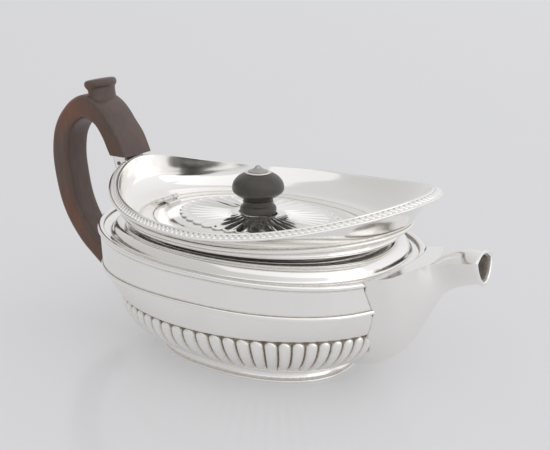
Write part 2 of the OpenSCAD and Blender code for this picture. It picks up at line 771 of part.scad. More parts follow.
// The handle's centre line between the sockets: share of the way back, from the upper socket
// on the crest and from the lower socket below it; share of the crest's height above the upper
// socket, or of the drop to the lower one when negative; shares of the thickness and the width
handle_rows = [[0.086, 0.325, 1, 1], [0.173, 0.557, 0.92, 1], [0.263, 0.764, 0.95, 1],
    [0.373, 0.911, 1.06, 1], [0.52, 0.992, 1.14, 0.98], [0.673, 0.902, 1.06, 0.94],
    [0.816, 0.699, 1, 0.88], [0.914, 0.463, 1.01, 0.84], [0.974, 0.179, 1.05, 0.815],
    [1, -0.08, 1.08, 0.8], [0.976, -0.239, 1.09, 0.79], [0.908, -0.428, 1.07, 0.78],
    [0.792, -0.583, 1.05, 0.76], [0.625, -0.717, 1.02, 0.74], [0.448, -0.808, 1, 0.73],
    [0.236, -0.902, 1, 0.73]];
handle_steps = 3;
handle_corner = 1.8;
handle_drop = upper_socket_top[1] - lower_socket_end[1];
wood_top = upper_socket_top + [(handle_thickness - upper_socket_thickness) / 2, 0];
handle_back = wood_top[0] - handle_reach;
handle_line = smooth(concat(
    [[wood_top[0], wood_top[1], handle_thickness * 1.04, handle_width]],
    [for (row = handle_rows)
        [mix(row[1] > 0 ? wood_top[0] : lower_socket_end[0], handle_back, row[0]),
            wood_top[1] + (row[1] > 0 ? handle_crest : handle_drop) * row[1],
            handle_thickness * row[2], handle_width * row[3]]],
    [[lower_socket_end[0], lower_socket_end[1], handle_thickness, handle_width * 0.74]]),
    handle_steps);

function line_angle(index) =
    let (last = len(handle_line) - 1, ahead = handle_line[min(index + 1, last)],
        behind = handle_line[max(index - 1, 0)])
    index == last ? lower_angle
        : mix(90, atan2(ahead[1] - behind[1], ahead[0] - behind[0]), min(1, index / handle_steps));

function handle_ring(index) =
    let (place = handle_line[index])
    box_ring([place[0], place[1]], line_angle(index), place[2], place[3], handle_corner);

thumb_tilt = -10;
thumb_thickness = 5.6;
// The thumbpiece upward from inside the crest: share of its length, of its width and height
thumb_rows = [[0.8, 0.92, -thumb_thickness * 2.35], [0.68, 0.9, -thumb_thickness * 1.1],
    [0.74, 0.93, -thumb_thickness * 0.88], [0.95, 0.98, -thumb_thickness * 0.64],
    [1, 1, -thumb_thickness * 0.4], [0.92, 0.96, -thumb_thickness * 0.14], [0.7, 0.8, 0]];
thumb_place = [wood_top[0] - handle_reach * 0.44,
    wood_top[1] + handle_crest + handle_thickness * 0.54 + thumb_thickness * 1.48];

module handle() {
    tenon_thin = sheet + tenon_gap;
    tenon_share = tenon_depth / (upper_socket_height - sheet);
    last = len(handle_line) - 1;
    lower_row = lower_socket_rows[0];
    color(DARK_WOOD) difference() {
        union() {
            capped_solid([for (index = [0 : last]) handle_ring(index)]);
            translate([thumb_place[0], 0, thumb_place[1]]) rotate([0, thumb_tilt, 0]) {
                capped_solid([for (row = thumb_rows)
                    oval_ring(oval(thumb_length / 2 * row[0], thumb_width / 2 * row[1], 2.6, row[2]),
                        24)]);
            }
            socket_block([
                moved_row(mix(upper_hollow_rows[1], upper_hollow_rows[0], tenon_share), 0, tenon_gap),
                moved_row(upper_hollow_rows[1], 0, tenon_gap),
                moved_row(upper_hollow_rows[1], sheet, tenon_gap)
            ]);
            socket_block([
                moved_row(lower_row, -sheet, tenon_thin),
                moved_row(lower_row, tenon_depth, tenon_thin)
            ]);
        }
        pin_along_y(upper_pin_place, handle_pin_radius + pin_play, 2 * socket_width);
        pin_along_y(lower_pin_place, handle_pin_radius + pin_play, 2 * socket_width);
    }
}

// ---- Lid hinge ---------------------------------------------------------------------------

leaf_thickness = 0.9;
leaf_length = 4.4;
hinge_x = -opening[0] - barrel_radius;
hinge_z = ledge_z + barrel_radius;
pot_knuckle_y = lid_knuckle_length / 2 + knuckle_play;

// A knuckle along Y from y to y + length, with a leaf that runs along X on the ledge or the lid
module knuckle(y, length, leaf_from, leaf_to) {
    difference() {
        union() {
            translate([hinge_x, y, hinge_z]) {
                rotate([-90, 0, 0]) cylinder(r = barrel_radius, h = length, $fn = turned_segments);
            }
            translate([leaf_from, y, ledge_z]) cube([leaf_to - leaf_from, length, leaf_thickness]);
        }
        translate([hinge_x, y - 1, hinge_z]) {
            rotate([-90, 0, 0]) {
                cylinder(r = hinge_pin_radius + pin_play, h = length + 2, $fn = turned_segments);
            }
        }
    }
}

module hinge_knuckles() {
    leaf_end = hinge_x - leaf_length;
    color(SILVER) {
        knuckle(pot_knuckle_y, pot_knuckle_length, leaf_end, hinge_x);
        knuckle(-pot_knuckle_y - pot_knuckle_length, pot_knuckle_length, leaf_end, hinge_x);
    }
}

module lid_knuckle() {
    color(SILVER) knuckle(-lid_knuckle_length / 2, lid_knuckle_length, hinge_x,
        hinge_x + barrel_radius + lid_gap + leaf_length);
}

module hinge_pin() {
    length = 2 * (pot_knuckle_y + pot_knuckle_length);
    color(BRIGHT_SILVER) pin_along_y([hinge_x, hinge_z], hinge_pin_radius, length);
}

// ---- Lid ---------------------------------------------------------------------------------

lid_edge = oval(lid_half_length, lid_half_width, throat_roundness, ledge_z);
lid_border = leaf_length + lid_gap;
lid_top = oval(patera_half_length + 1, patera_half_width + 1, patera_roundness, lid_dome_z);

module bolt_bore(from_z, to_z) {
    translate([0, 0, from_z]) {
        cylinder(r = bolt_radius + pin_play, h = to_z - from_z, $fn = turned_segments);
    }
}

module lid_plate() {
    hollow = lid_border + sheet;
    color(SILVER) difference() {
        capped_solid([
            oval_ring(grown(lid_edge, 0, -sheet)),
            oval_ring(lid_edge),
            oval_ring(grown(lid_edge, -lid_border)),
            oval_ring(lid_top)
        ]);
        capped_solid([
            oval_ring(grown(lid_edge, -hollow, -sheet - 1)),
            oval_ring(grown(lid_edge, -hollow, -sheet)),
            oval_ring(grown(lid_top, 0, -sheet))
        ]);
        bolt_bore(ledge_z - sheet, lid_dome_z + 1);
    }
}

module lid_bezel() {
    color(SILVER) flat_ring(grown(lid_edge, -seat_width - lid_gap / 2, -sheet - bezel_depth),
        sheet, bezel_depth);
}

patera_segments = flute_count * points_per_lobe;
// Height of each point of a flute, from the ridge at its side to its hollow middle
flute_section = [1, 0.25, 0, 0.25];
flute_depth = 0.5;
patera_rise = 0.6;

// A ring of the patera at a share of its size, with its flutes cut to a share of their depth
function patera_ring(share, z, depth, scallop = 0) =
    [for (step = [0 : patera_segments - 1])
        let (ridge = flute_section[step % points_per_lobe],
            shape = oval((patera_half_length - scallop * ridge) * share,
                (patera_half_width - scallop * ridge) * share, patera_roundness,
                z + flute_depth * depth * ridge))
        oval_point(shape, 360 * step / patera_segments)];

module patera() {
    top = lid_dome_z + patera_thickness;
    color(BRIGHT_SILVER) difference() {
        capped_solid([
            patera_ring(1, lid_dome_z, 0, 1),
            patera_ring(1, top, 0, 1),
            patera_ring(0.93, top - flute_depth / 2, 1),
            patera_ring(0.6, top, 1),
            patera_ring(0.3, top + patera_rise, 0)
        ]);
        bolt_bore(lid_dome_z - 1, top + 2 * patera_rise);
    }
}

// ---- Knob --------------------------------------------------------------------------------

collar_z = lid_dome_z + patera_thickness + patera_rise;
knob_z = collar_z + collar_thickness;
washer_z = knob_z + knob_height;
finial_z = washer_z + washer_thickness;
bolt_hollow = finial_height * 0.5;

// A turned piece through chosen points of its outline, bored for the bolt
module turned(outline, z) {
    bore = bolt_radius + pin_play;
    top = outline[len(outline) - 1][1];
    translate([0, 0, z]) rotate_extrude($fn = turned_segments) {
        polygon(concat([[bore, outline[0][1]]], outline, [[bore, top]]));
    }
}

module knob_collar() {
    edge = collar_thickness * 0.3;
    color(BRIGHT_SILVER) turned([[collar_radius - edge, 0], [collar_radius, edge],
        [collar_radius, collar_thickness - edge], [collar_radius - edge, collar_thickness]],
        collar_z);
}

module knob() {
    height = knob_height;
    outline = smooth([[knob_foot_radius * 0.95, 0], [knob_foot_radius, height * 0.04],
        [knob_foot_radius, height * 0.11], [knob_foot_radius * 0.95, height * 0.165],
        [knob_foot_radius * 0.85, height * 0.22], [knob_waist_radius * 1.08, height * 0.27],
        [knob_waist_radius * 1.07, height * 0.32], [knob_waist_radius, height * 0.35],
        [knob_radius * 0.61, height * 0.375], [knob_radius * 0.775, height * 0.443],
        [knob_radius * 0.955, height * 0.532], [knob_radius, height * 0.635],
        [knob_radius * 0.947, height * 0.773], [knob_radius * 0.795, height * 0.897],
        [knob_radius * 0.61, height * 0.97], [washer_radius, height]], 2);
    color(DARK_WOOD) turned(outline, knob_z);
}

module knob_washer() {
    groove = washer_thickness * 0.2;
    color(BRIGHT_SILVER) turned([[washer_radius - groove, 0], [washer_radius, groove],
        [washer_radius - groove, washer_thickness / 2], [washer_radius * 0.92, washer_thickness]],
        washer_z);
}

module finial_nut() {
    foot_radius = washer_radius * 0.75;
    color(BRIGHT_SILVER) translate([0, 0, finial_z]) difference() {
        rotate_extrude($fn = turned_segments) {
            polygon([[0, 0], [foot_radius, 0], [foot_radius, finial_height * 0.1],
                [foot_radius * 0.66, finial_height * 0.33], [foot_radius * 0.38, finial_height * 0.62],
                [foot_radius * 0.2, finial_height * 0.88], [0, finial_height]]);
        }
        translate([0, 0, -1]) {
            cylinder(r = bolt_radius + pin_play, h = bolt_hollow + 1, $fn = turned_segments);
        }
    }
}

bolt_head_radius = 4;
bolt_head_height = 1.6;
bolt_washer_radius = 7;
bolt_washer_thickness = 1;
bolt_plate_z = lid_dome_z - sheet;

module knob_bolt() {
    head_z = bolt_plate_z - bolt_washer_thickness - bolt_head_height;
    top_z = finial_z + bolt_hollow - seam;
    color(BRIGHT_SILVER) {
        translate([0, 0, head_z]) {
            cylinder(r = bolt_head_radius, h = bolt_head_height, $fn = turned_segments);
        }
        translate([0, 0, head_z + bolt_head_height]) {
            cylinder(r = bolt_radius, h = top_z - head_z - bolt_head_height, $fn = turned_segments);
        }
    }
}

module bolt_washer() {
    color(SILVER) turned([[bolt_washer_radius, 0], [bolt_washer_radius, bolt_washer_thickness]],
        bolt_plate_z - bolt_washer_thickness);
}

foot_ring();
base_plate();
lobed_bowl();
lower_wire();
frieze_band();
upper_wire();
shoulder();
throat_band();
neck_moulding();
cape();
cape_border();
lid_seat();
spout();
spout_lip();
upper_socket();
lower_socket();
upper_pin();
lower_pin();
handle();
hinge_knuckles();
hinge_pin();
lid_plate();
patera();
lid_bezel();
lid_knuckle();
knob_collar();
knob();
knob_washer();
finial_nut();
knob_bolt();
bolt_washer();
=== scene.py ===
import math
from functools import partial

import bmesh
import bpy
import numpy as np
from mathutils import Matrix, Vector


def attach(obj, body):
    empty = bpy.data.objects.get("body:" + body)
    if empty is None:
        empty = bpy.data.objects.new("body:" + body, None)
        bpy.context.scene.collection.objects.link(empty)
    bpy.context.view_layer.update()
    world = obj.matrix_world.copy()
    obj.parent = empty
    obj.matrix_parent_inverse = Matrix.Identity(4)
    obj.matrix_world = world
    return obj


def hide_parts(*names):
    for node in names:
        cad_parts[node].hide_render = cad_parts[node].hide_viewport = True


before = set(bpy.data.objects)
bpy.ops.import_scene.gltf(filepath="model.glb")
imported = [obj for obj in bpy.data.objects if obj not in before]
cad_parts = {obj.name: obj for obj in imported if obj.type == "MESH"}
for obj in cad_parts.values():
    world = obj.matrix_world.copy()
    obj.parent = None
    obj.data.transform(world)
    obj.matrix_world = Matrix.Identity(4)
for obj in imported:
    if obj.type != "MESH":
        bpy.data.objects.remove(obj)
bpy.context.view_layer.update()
MM = 0.001

# Sizes in millimetres
SHEET = 1.2
SEAM = 0.05
# Half length and half width of each oval
LOBES_HALF = (78.5, 59.8)
BAND_HALF = (84, 63.8)
EDGE_HALF = (85, 64.8)
THROAT_HALF = (65.2, 49.2)
RIM_HALF = (86.3, 67.0)
OPENING_HALF = (58.6, 42.6)
LID_HALF = (58.25, 42.25)
DOME_HALF = (45.6, 33.7)
PATERA_HALF = (44.6, 32.7)
# How far an edge rises at the front and at the rear
EDGE_RISE = (-1.5, 5.4)
RIM_RISE = (14.6, 10.8)
RIM_POWERS = (1.9, 4.5)
RIM_SHIFT = 6.8
FOOT_Z = 4.4
BOWL_Z = 5.6
LOBE_TOP_Z = 30.0
LOWER_WIRE_Z = 43.2
FRIEZE_Z = 45.7
FRIEZE_TOP_Z = 59.3
DECK_Z = 60.2
CUSHION_Z = 66.5
LEDGE_Z = 70.0
RIM_Z = 81.8
DOME_Z = 71.5
WIRE_INSET = 2.2
EDGE_POWER = 1.5
THROAT_ROUND = 2.1
RIM_ROUND = 1.8
BODY_ROUND = 2.35
PATERA_ROUND = 1.95
LOBE_ROUND = 2.02
LOBES = 68
POINTS_PER_LOBE = 16
LOBE_DEPTH = 1.7
FLUTES = 36
POINTS_PER_FLUTE = 18
AROUND = 420
CAPE_AROUND = 560
BORDER_AROUND = 640
TURNED_AROUND = 96


# ---- Camera ----

def aim(item, place, target):
    """Stands a camera or a lamp at a place and turns it to a target."""
    bpy.context.collection.objects.link(item)
    item.location = place
    item.rotation_mode = "QUATERNION"
    item.rotation_quaternion = (Vector(target) - Vector(place)).to_track_quat("-Z", "Y")


def make_camera():
    data = bpy.data.cameras.new("camera")
    data.sensor_width = 36
    data.lens = 67.4
    camera = bpy.data.objects.new("camera", data)
    aim(camera, Vector((287.8, -412.1, 216.0)) * MM, Vector((10.23, 0, 68.35)) * MM)
    bpy.context.scene.camera = camera


make_camera()


# ---- Node helpers ----

def feed(tree, item, inputs):
    """Gives a node its inputs by name or number, either values or sockets."""
    for key, value in inputs.items():
        if isinstance(value, bpy.types.NodeSocket):
            tree.links.new(value, item.inputs[key])
        else:
            item.inputs[key].default_value = value


def add_node(tree, kind, settings=None, inputs=None):
    item = tree.nodes.new(kind)
    for key, value in (settings or {}).items():
        setattr(item, key, value)
    feed(tree, item, inputs or {})
    return item


def maths(tree, operation, *values):
    settings = {"operation": operation}
    return add_node(tree, "ShaderNodeMath", settings, dict(enumerate(values))).outputs[0]


def off_middle(calc, turn):
    """How far a point is from the middle of its lobe or flute to the edge, from 0 to 1."""
    return calc("ABSOLUTE", calc("MULTIPLY_ADD", calc("FRACT", turn), 2.0, -1.0))


def share_past(calc, reach, first):
    """How far reach is from first to 1, and 0 before it."""
    way = calc("DIVIDE", calc("SUBTRACT", reach, first), calc("SUBTRACT", 1.0, first))
    return calc("MAXIMUM", way, 0.0)


def scaled(tree, vector, amount):
    return add_node(tree, "ShaderNodeVectorMath", {"operation": "SCALE"},
                    {0: vector, "Scale": amount}).outputs[0]


# ---- Materials ----

def new_material(name):
    material = bpy.data.materials.new(name)
    material.use_nodes = True
    tree = material.node_tree
    return material, tree, tree.nodes["Principled BSDF"]


def colour_ramp(tree, factor, stops):
    item = add_node(tree, "ShaderNodeValToRGB", inputs={0: factor})
    ramp = item.color_ramp
    ramp.elements[0].position, ramp.elements[0].color = stops[0][0], (*stops[0][1], 1)
    ramp.elements[1].position, ramp.elements[1].color = stops[-1][0], (*stops[-1][1], 1)
    for place, colour in stops[1:-1]:
        ramp.elements.new(place).color = (*colour, 1)
    return item.outputs[0]


def noise(tree, vector, scale, detail=3.0, rough=0.5):
    inputs = {"Vector": vector, "Scale": scale, "Detail": detail, "Roughness": rough}
    return add_node(tree, "ShaderNodeTexNoise", inputs=inputs).outputs[0]


def object_place(tree, scale=(1, 1, 1)):
    place = add_node(tree, "ShaderNodeTexCoord").outputs["Object"]
    inputs = {"Vector": place, "Scale": scale}
    return add_node(tree, "ShaderNodeMapping", inputs=inputs).outputs[0]


def add_bump(tree, shader, height, strength, distance):
    inputs = {"Height": height, "Strength": strength, "Distance": distance}
    feed(tree, shader, {"Normal": add_node(tree, "ShaderNodeBump", inputs=inputs).outputs[0]})


def make_silver(name, colour, dull, rough, dent):
    """Polished silver: a warm white metal with faint hand-polishing and soft dents from the hammer
    and raising. Where the tarnish attribute is set, a brown layer dulls it, and it looks
    less like bare metal the thicker that layer is: tarnished where cloth can't reach, and painted
    shade under the plain band's edge, inside the gadrooned border and under the patera's scallops."""
    material, tree, shader = new_material(name)
    calc = partial(maths, tree)
    place = object_place(tree)
    darkening = add_node(tree, "ShaderNodeAttribute", {"attribute_name": "tarnish"}).outputs["Fac"]
    cloud = noise(tree, place, 38.0, 3.0)
    speck = noise(tree, place, 420.0, 2.0)
    tint_strength = calc("MULTIPLY", darkening, calc("MULTIPLY_ADD", speck, 0.7, 0.6))
    thin = calc("MULTIPLY_ADD", cloud, 0.16, -0.04)
    share = calc("ADD", tint_strength, thin)
    shades = [(0.0, colour), (0.35, tuple(c * d for c, d in zip(colour, (0.9, 0.87, 0.82)))),
              (1.0, dull)]
    base = colour_ramp(tree, share, shades)
    fine = noise(tree, object_place(tree, (1, 1, 6)), 300.0, 4.0, 0.6)
    gloss = calc("MULTIPLY_ADD", fine, rough * 0.6, rough * 0.7)
    gloss = calc("MULTIPLY_ADD", tint_strength, 0.25, gloss)
    bare = calc("MAXIMUM", calc("MULTIPLY_ADD", tint_strength, -0.9, 1.0), 0.1)
    feed(tree, shader, {"Base Color": base, "Roughness": gloss, "Metallic": bare})
    wave = noise(tree, place, 26.0, 1.5)
    grain = noise(tree, object_place(tree, (1, 1, 9)), 900.0, 2.0)
    add_bump(tree, shader, calc("MULTIPLY_ADD", grain, 0.02, wave), dent, 0.0012)
    return material


def make_wood(name, shades, gloss, along, tint_strength):
    """Dark oiled hardwood: long pores and streaks along the piece, and a painted sheen and
    reflection
    by facing: redder on the faces turned away from the pot, to the front or down, and cooler on
    those turned to the pot; random patches add to the redness."""
    material, tree, shader = new_material(name)
    calc = partial(maths, tree)
    streaks = noise(tree, object_place(tree, along), 22.0, 6.0, 0.62)
    pores = noise(tree, object_place(tree, tuple(v * 2.2 for v in along)), 160.0, 3.0, 0.7)
    mixed = calc("MULTIPLY_ADD", pores, 0.3, calc("MULTIPLY", streaks, 0.7))
    base = colour_ramp(tree, mixed, shades)
    facing = add_node(tree, "ShaderNodeNewGeometry").outputs["True Normal"]
    axis = add_node(tree, "ShaderNodeSeparateXYZ", inputs={0: facing})
    patch = noise(tree, object_place(tree), 17.0, 2.0)
    # Painted sheen: each face's direction tints the wood, with random patches of redder tone
    sheen_and_patch = calc("MULTIPLY_ADD", axis.outputs[0], -0.45, calc("MULTIPLY", patch, 1.5))
    sheen_and_patch = calc("MULTIPLY_ADD", axis.outputs[1], -0.25, sheen_and_patch)
    sheen_and_patch = calc("MULTIPLY_ADD", axis.outputs[2], -0.25, calc("SUBTRACT", sheen_and_patch, 0.5))
    sheen_and_patch_tints = colour_ramp(tree, sheen_and_patch, [
        (0.0, (1.05, 1.05, 1.12)), (0.3, (0.95, 1.02, 0.98)),
        (0.75, (1.0 + tint_strength, 1.0, 0.72)), (1.0, (1.0 + tint_strength * 1.5, 1.0, 0.6))])
    shade = add_node(tree, "ShaderNodeVectorMath", {"operation": "MULTIPLY"}, {0: base, 1: sheen_and_patch_tints})
    rough = calc("MULTIPLY_ADD", pores, 0.22, gloss)
    feed(tree, shader, {"Base Color": shade.outputs[0], "Roughness": rough, "Coat Weight": 0.15,
                        "Coat Roughness": 0.22, "Specular IOR Level": 0.45})
    add_bump(tree, shader, mixed, 0.35, 0.0004)
    return material


SILVER = make_silver("polished_silver", (0.945, 0.934, 0.918), (0.16, 0.125, 0.095), 0.13, 0.10)
BRIGHT = make_silver("bright_silver", (0.955, 0.945, 0.928), (0.14, 0.105, 0.08), 0.1, 0.06)
FITTINGS = make_silver("fitting_silver", (0.74, 0.72, 0.7), (0.14, 0.1, 0.07), 0.16, 0.05)
# A darker copy of the silver for the finial: painted dark reflection
DARK_REFLECTION_SILVER = make_silver("dark_reflection_silver", (0.46, 0.44, 0.42), (0.14, 0.1, 0.07), 0.2, 0.05)
DARK_PINS = make_silver("blackened_pins", (0.16, 0.14, 0.13), (0.05, 0.04, 0.04), 0.3, 0.05)
WOOD = make_wood("handle_wood", [(0.2, (0.042, 0.029, 0.024)), (0.5, (0.085, 0.056, 0.045)),
                                 (0.8, (0.155, 0.094, 0.07))], 0.3, (1, 1, 0.16), 0.6)
KNOB_WOOD = make_wood("knob_wood", [(0.2, (0.032, 0.028, 0.022)), (0.55, (0.056, 0.049, 0.04)),
                                    (0.85, (0.1, 0.083, 0.066))], 0.26, (1, 1, 0.5), 0.05)


# ---- Ovals ----

def oval(length, width, roundness, z, front=0.0, rear=0.0, shift=0.0, power=2.0,
         rear_power=None):
    return np.array([length, width, roundness, z, front, rear, shift, power,
                     rear_power or power], dtype=float)


def grown(shape, out, up=0.0):
    larger = shape.copy()
    larger[0] += out
    larger[1] += out
    larger[3] += up
    return larger


def turns(count):
    return np.arange(count) / count * 2 * np.pi


def oval_points(shape, angles):
    length, width, roundness, z, front, rear, shift, power, rear_power = shape
    c, s = np.cos(angles), np.sin(angles)
    along = np.sign(c) * np.abs(c) ** (2 / roundness)
    across = np.sign(s) * np.abs(s) ** (2 / roundness)
    rise = np.where(along > 0, front * np.abs(along) ** power, rear * np.abs(along) ** rear_power)
    return np.stack([shift + length * along, width * across, z + rise], 1)


def oval_rings(shapes, around=AROUND):
    return [oval_points(shape, turns(around)) for shape in shapes]


def smooth_rows(rows, steps):
    """A smooth curve through rows of numbers, steps points from one row to the next."""
    rows = np.asarray(rows, dtype=float)
    padded = np.vstack([2 * rows[0] - rows[1], rows, 2 * rows[-1] - rows[-2]])
    out = []
    for i in range(1, len(rows)):
        before, start, end, after = padded[i - 1], padded[i], padded[i + 1], padded[i + 2]
        for t in np.arange(steps) / steps:
            out.append(0.5 * (2 * start + (end - before) * t
                              + (2 * before - 5 * start + 4 * end - after) * t ** 2
                              + (3 * start - before - 3 * end + after) * t ** 3))
    out.append(rows[-1])
    return np.array(out)


def rounded(corners, radius, steps=4):
    """Corners of an outline, each one rounded off; a corner may give its own radius."""
    out = []
    for i, corner in enumerate(corners):
        here = np.array(corner[:2], dtype=float)
        own = corner[2] if len(corner) > 2 else radius
        before = np.array(corners[i - 1][:2], dtype=float) - here
        after = np.array(corners[(i + 1) % len(corners)][:2], dtype=float) - here
        reach = min(own, 0.48 * np.linalg.norm(before), 0.48 * np.linalg.norm(after))
        if reach < 1e-4:
            out.append(here)
            continue
        start = here + before / np.linalg.norm(before) * reach
        end = here + after / np.linalg.norm(after) * reach
        for t in np.linspace(0, 1, steps):
            out.append((1 - t) ** 2 * start + 2 * t * (1 - t) * here + t ** 2 * end)
    return np.array(out)


# ---- Meshes ----

def finish_mesh(mesh, sharp=38):
    work = bmesh.new()
    work.from_mesh(mesh)
    bmesh.ops.remove_doubles(work, verts=work.verts, dist=1e-7)
    bmesh.ops.recalc_face_normals(work, faces=work.faces)
    work.to_mesh(mesh)
    work.free()
    mesh.shade_smooth()
    if sharp:
        mesh.set_sharp_from_angle(angle=math.radians(sharp))
    mesh.update()


def grid_faces(rows, count, wrap_rows):
    """Quads between rings of count points each."""
    r = np.arange(rows if wrap_rows else rows - 1)
    r, c = [part.ravel() for part in np.meshgrid(r, np.arange(count), indexing="ij")]
    r2, c2 = (r + 1) % rows, (c + 1) % count
    return np.stack([r * count + c, r2 * count + c, r2 * count + c2, r * count + c2], 1)


def new_mesh(name, points, faces, values=None):
    """A mesh from points in millimetres; values are attributes, a number or a vector a point."""
    mesh = bpy.data.meshes.new(name)
    flat = np.asarray(points, dtype=float).reshape(-1, 3) * MM
    mesh.from_pydata(flat.tolist(), [], [list(map(int, face)) for face in faces])
    for key, numbers in (values or {}).items():
        numbers = np.asarray(numbers, dtype=np.float32)
        kind, field = (("FLOAT", "value") if numbers.size == len(flat)
                       else ("FLOAT_VECTOR", "vector"))
        mesh.attributes.new(key, kind, "POINT").data.foreach_set(field, numbers.ravel())
    return mesh


def add_object(name, mesh, material=None):
    item = bpy.data.objects.new(name, mesh)
    bpy.context.collection.objects.link(item)
    if material:
        mesh.materials.clear()
        mesh.materials.append(material)
    return item


def end_faces(rows, count):
    return [list(range(count)), list(range((rows - 1) * count, rows * count))]


def skin(name, rings, material, darkening=None, sharp=38, closed=True):
    """A skin through rings of points, with a share of darkening for each ring: tarnished metal,
    and in some rings painted shade. A closed one runs from the last ring to the first, and an open
    one has a face at each end."""
    rings = np.asarray(rings)
    rows, count = rings.shape[:2]
    faces = grid_faces(rows, count, closed).tolist()
    if not closed:
        faces += end_faces(rows, count)
    values = {} if darkening is None else {"tarnish": np.repeat(darkening, count)}
    mesh = new_mesh(name, rings, faces, values)
    finish_mesh(mesh, sharp)
    return add_object(name, mesh, material)


def swept(name, outline, shape_at, material, tarnish=None):
    """A closed outline of [out, up] carried round the ovals that shape_at gives."""
    darkening = [tarnish(*place) for place in outline] if tarnish else None
    return skin(name, oval_rings(shape_at(*place) for place in outline), material, darkening)


def turned_piece(name, outline, z, material, sharp=38):
    """A lathe-turned piece whose outline of [radius, height] starts and ends on the axis."""
    around = TURNED_AROUND
    angles = turns(around)
    inner = [place for place in outline if place[0] > 1e-6]
    points = [[0, 0, z + outline[0][1]], [0, 0, z + outline[-1][1]]]
    for radius, up in inner:
        for angle in angles:
            points.append([radius * math.cos(angle), radius * math.sin(angle), z + up])
    faces = (grid_faces(len(inner), around, False) + 2).tolist()
    for i in range(around):
        j = (i + 1) % around
        faces.append([0, 2 + i, 2 + j])
        last = 2 + (len(inner) - 1) * around
        faces.append([1, last + j, last + i])
    mesh = new_mesh(name, points, faces)
    finish_mesh(mesh, sharp)
    return add_object(name, mesh, material)


def join_pieces(name, pieces):
    """One object from several, with their meshes side by side."""
    work = bmesh.new()
    for piece in pieces:
        work.from_mesh(piece.data)
    mesh = bpy.data.meshes.new(name)
    work.to_mesh(mesh)
    work.free()
    item = add_object(name, mesh, pieces[0].data.materials[0])
    for piece in pieces:
        bpy.data.objects.remove(piece)
    return item


def belongs(piece, body, slot, *nodes):
    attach(piece, body)
    if nodes:
        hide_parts(*nodes)


# ---- Geometry Nodes ----

def shape_tree(name, numbers, make):
    """A tree with one geometry, one material and named numbers; make gives the geometry."""
    tree = bpy.data.node_groups.new(name, "GeometryNodeTree")
    face = tree.interface
    face.new_socket("Geometry", in_out="INPUT", socket_type="NodeSocketGeometry")
    for label, value in numbers.items():
        socket = face.new_socket(label, in_out="INPUT", socket_type="NodeSocketFloat")
        socket.default_value = value
    face.new_socket("Finish", in_out="INPUT", socket_type="NodeSocketMaterial")
    face.new_socket("Geometry", in_out="OUTPUT", socket_type="NodeSocketGeometry")
    start = tree.nodes.new("NodeGroupInput").outputs
    shaped = make(tree, start)
    real = add_node(tree, "GeometryNodeRealizeInstances", inputs={0: shaped}).outputs[0]
    done = add_node(tree, "GeometryNodeSetMaterial",
                    inputs={"Geometry": real, "Material": start["Finish"]}).outputs[0]
    tree.links.new(done, tree.nodes.new("NodeGroupOutput").inputs[0])
    return tree


def baked(name, source, tree, numbers, material, sharp=38):
    """The plain mesh that the tree makes of the source, whose own object goes."""
    modifier = source.modifiers.new("shape", "NODES")
    modifier.node_group = tree
    values = {**numbers, "Finish": material}
    for item in tree.interface.items_tree:
        if item.in_out == "INPUT" and item.name in values:
            modifier[item.identifier] = values[item.name]
    graph = bpy.context.evaluated_depsgraph_get()
    mesh = bpy.data.meshes.new_from_object(source.evaluated_get(graph),
                                           preserve_all_data_layers=True, depsgraph=graph)
    mesh.name = name
    source.modifiers.remove(modifier)
    bpy.data.objects.remove(source)
    finish_mesh(mesh, sharp)
    return add_object(name, mesh, material)


def named(tree, label, kind="FLOAT"):
    return add_node(tree, "GeometryNodeInputNamedAttribute", {"data_type": kind},
                    {"Name": label}).outputs["Attribute"]


def moved(tree, geometry, offset):
    return add_node(tree, "GeometryNodeSetPosition",
                    inputs={"Geometry": geometry, "Offset": offset}).outputs[0]


# ---- Foot ----

FOOT_LOWER = oval(54.3, 38.6, 2.25, 0)
FOOT_UPPER = grown(FOOT_LOWER, -2.6, FOOT_Z)


def make_foot():
    outline = rounded([(-2.6, 0, 0.2), (-0.1, 0, 0.3), (0, 0.5, 0.3), (-0.15, 1.2, 0.25),
                       (-0.75, 1.35, 0.2), (-1.7, 1.9, 0.8), (-2.45, 3.4, 0.8), (-2.5, 4.4, 0.2),
                       (-3.8, 4.4, 0.2), (-3.1, 1.6, 0.5)], 0.3)
    foot = swept("oval_foot", outline, lambda out, up: grown(FOOT_LOWER, out, up), SILVER,
                 lambda out, up: 0.25 if 1.2 < up < 2.0 else 0.05)
    belongs(foot, "pot", "silver", "foot_ring")


# ---- Lobed bowl ----

LOBE_LOWER = grown(FOOT_UPPER, 0, SHEET)
LOBE_UPPER = oval(*LOBES_HALF, LOBE_ROUND, LOBE_TOP_Z)
BOWL_UPPER = grown(oval(*BAND_HALF, BODY_ROUND, LOWER_WIRE_Z), -SHEET / 2)
BAND_BULGE = 0.6


def bulge(up):
    return (1 - (1 - up) ** 2) ** 0.8


def blended(low, high, up, out):
    shape = low + (high - low) * up
    shape[:2] = low[:2] + (high[:2] - low[:2]) * out
    return shape


def crown_oval(up):
    return blended(LOBE_LOWER, LOBE_UPPER, up, bulge(up))


def band_oval(up):
    shape = blended(LOBE_UPPER, BOWL_UPPER, up, up)
    return grown(shape, BAND_BULGE * 4 * up * (1 - up))


def ring_normals(rings):
    """Outward normals of a grid of rings that go round the Z axis."""
    along = np.roll(rings, -1, 1) - np.roll(rings, 1, 1)
    up = np.gradient(rings, axis=0)
    normal = np.cross(along, up)
    return normal / np.linalg.norm(normal, axis=2, keepdims=True)


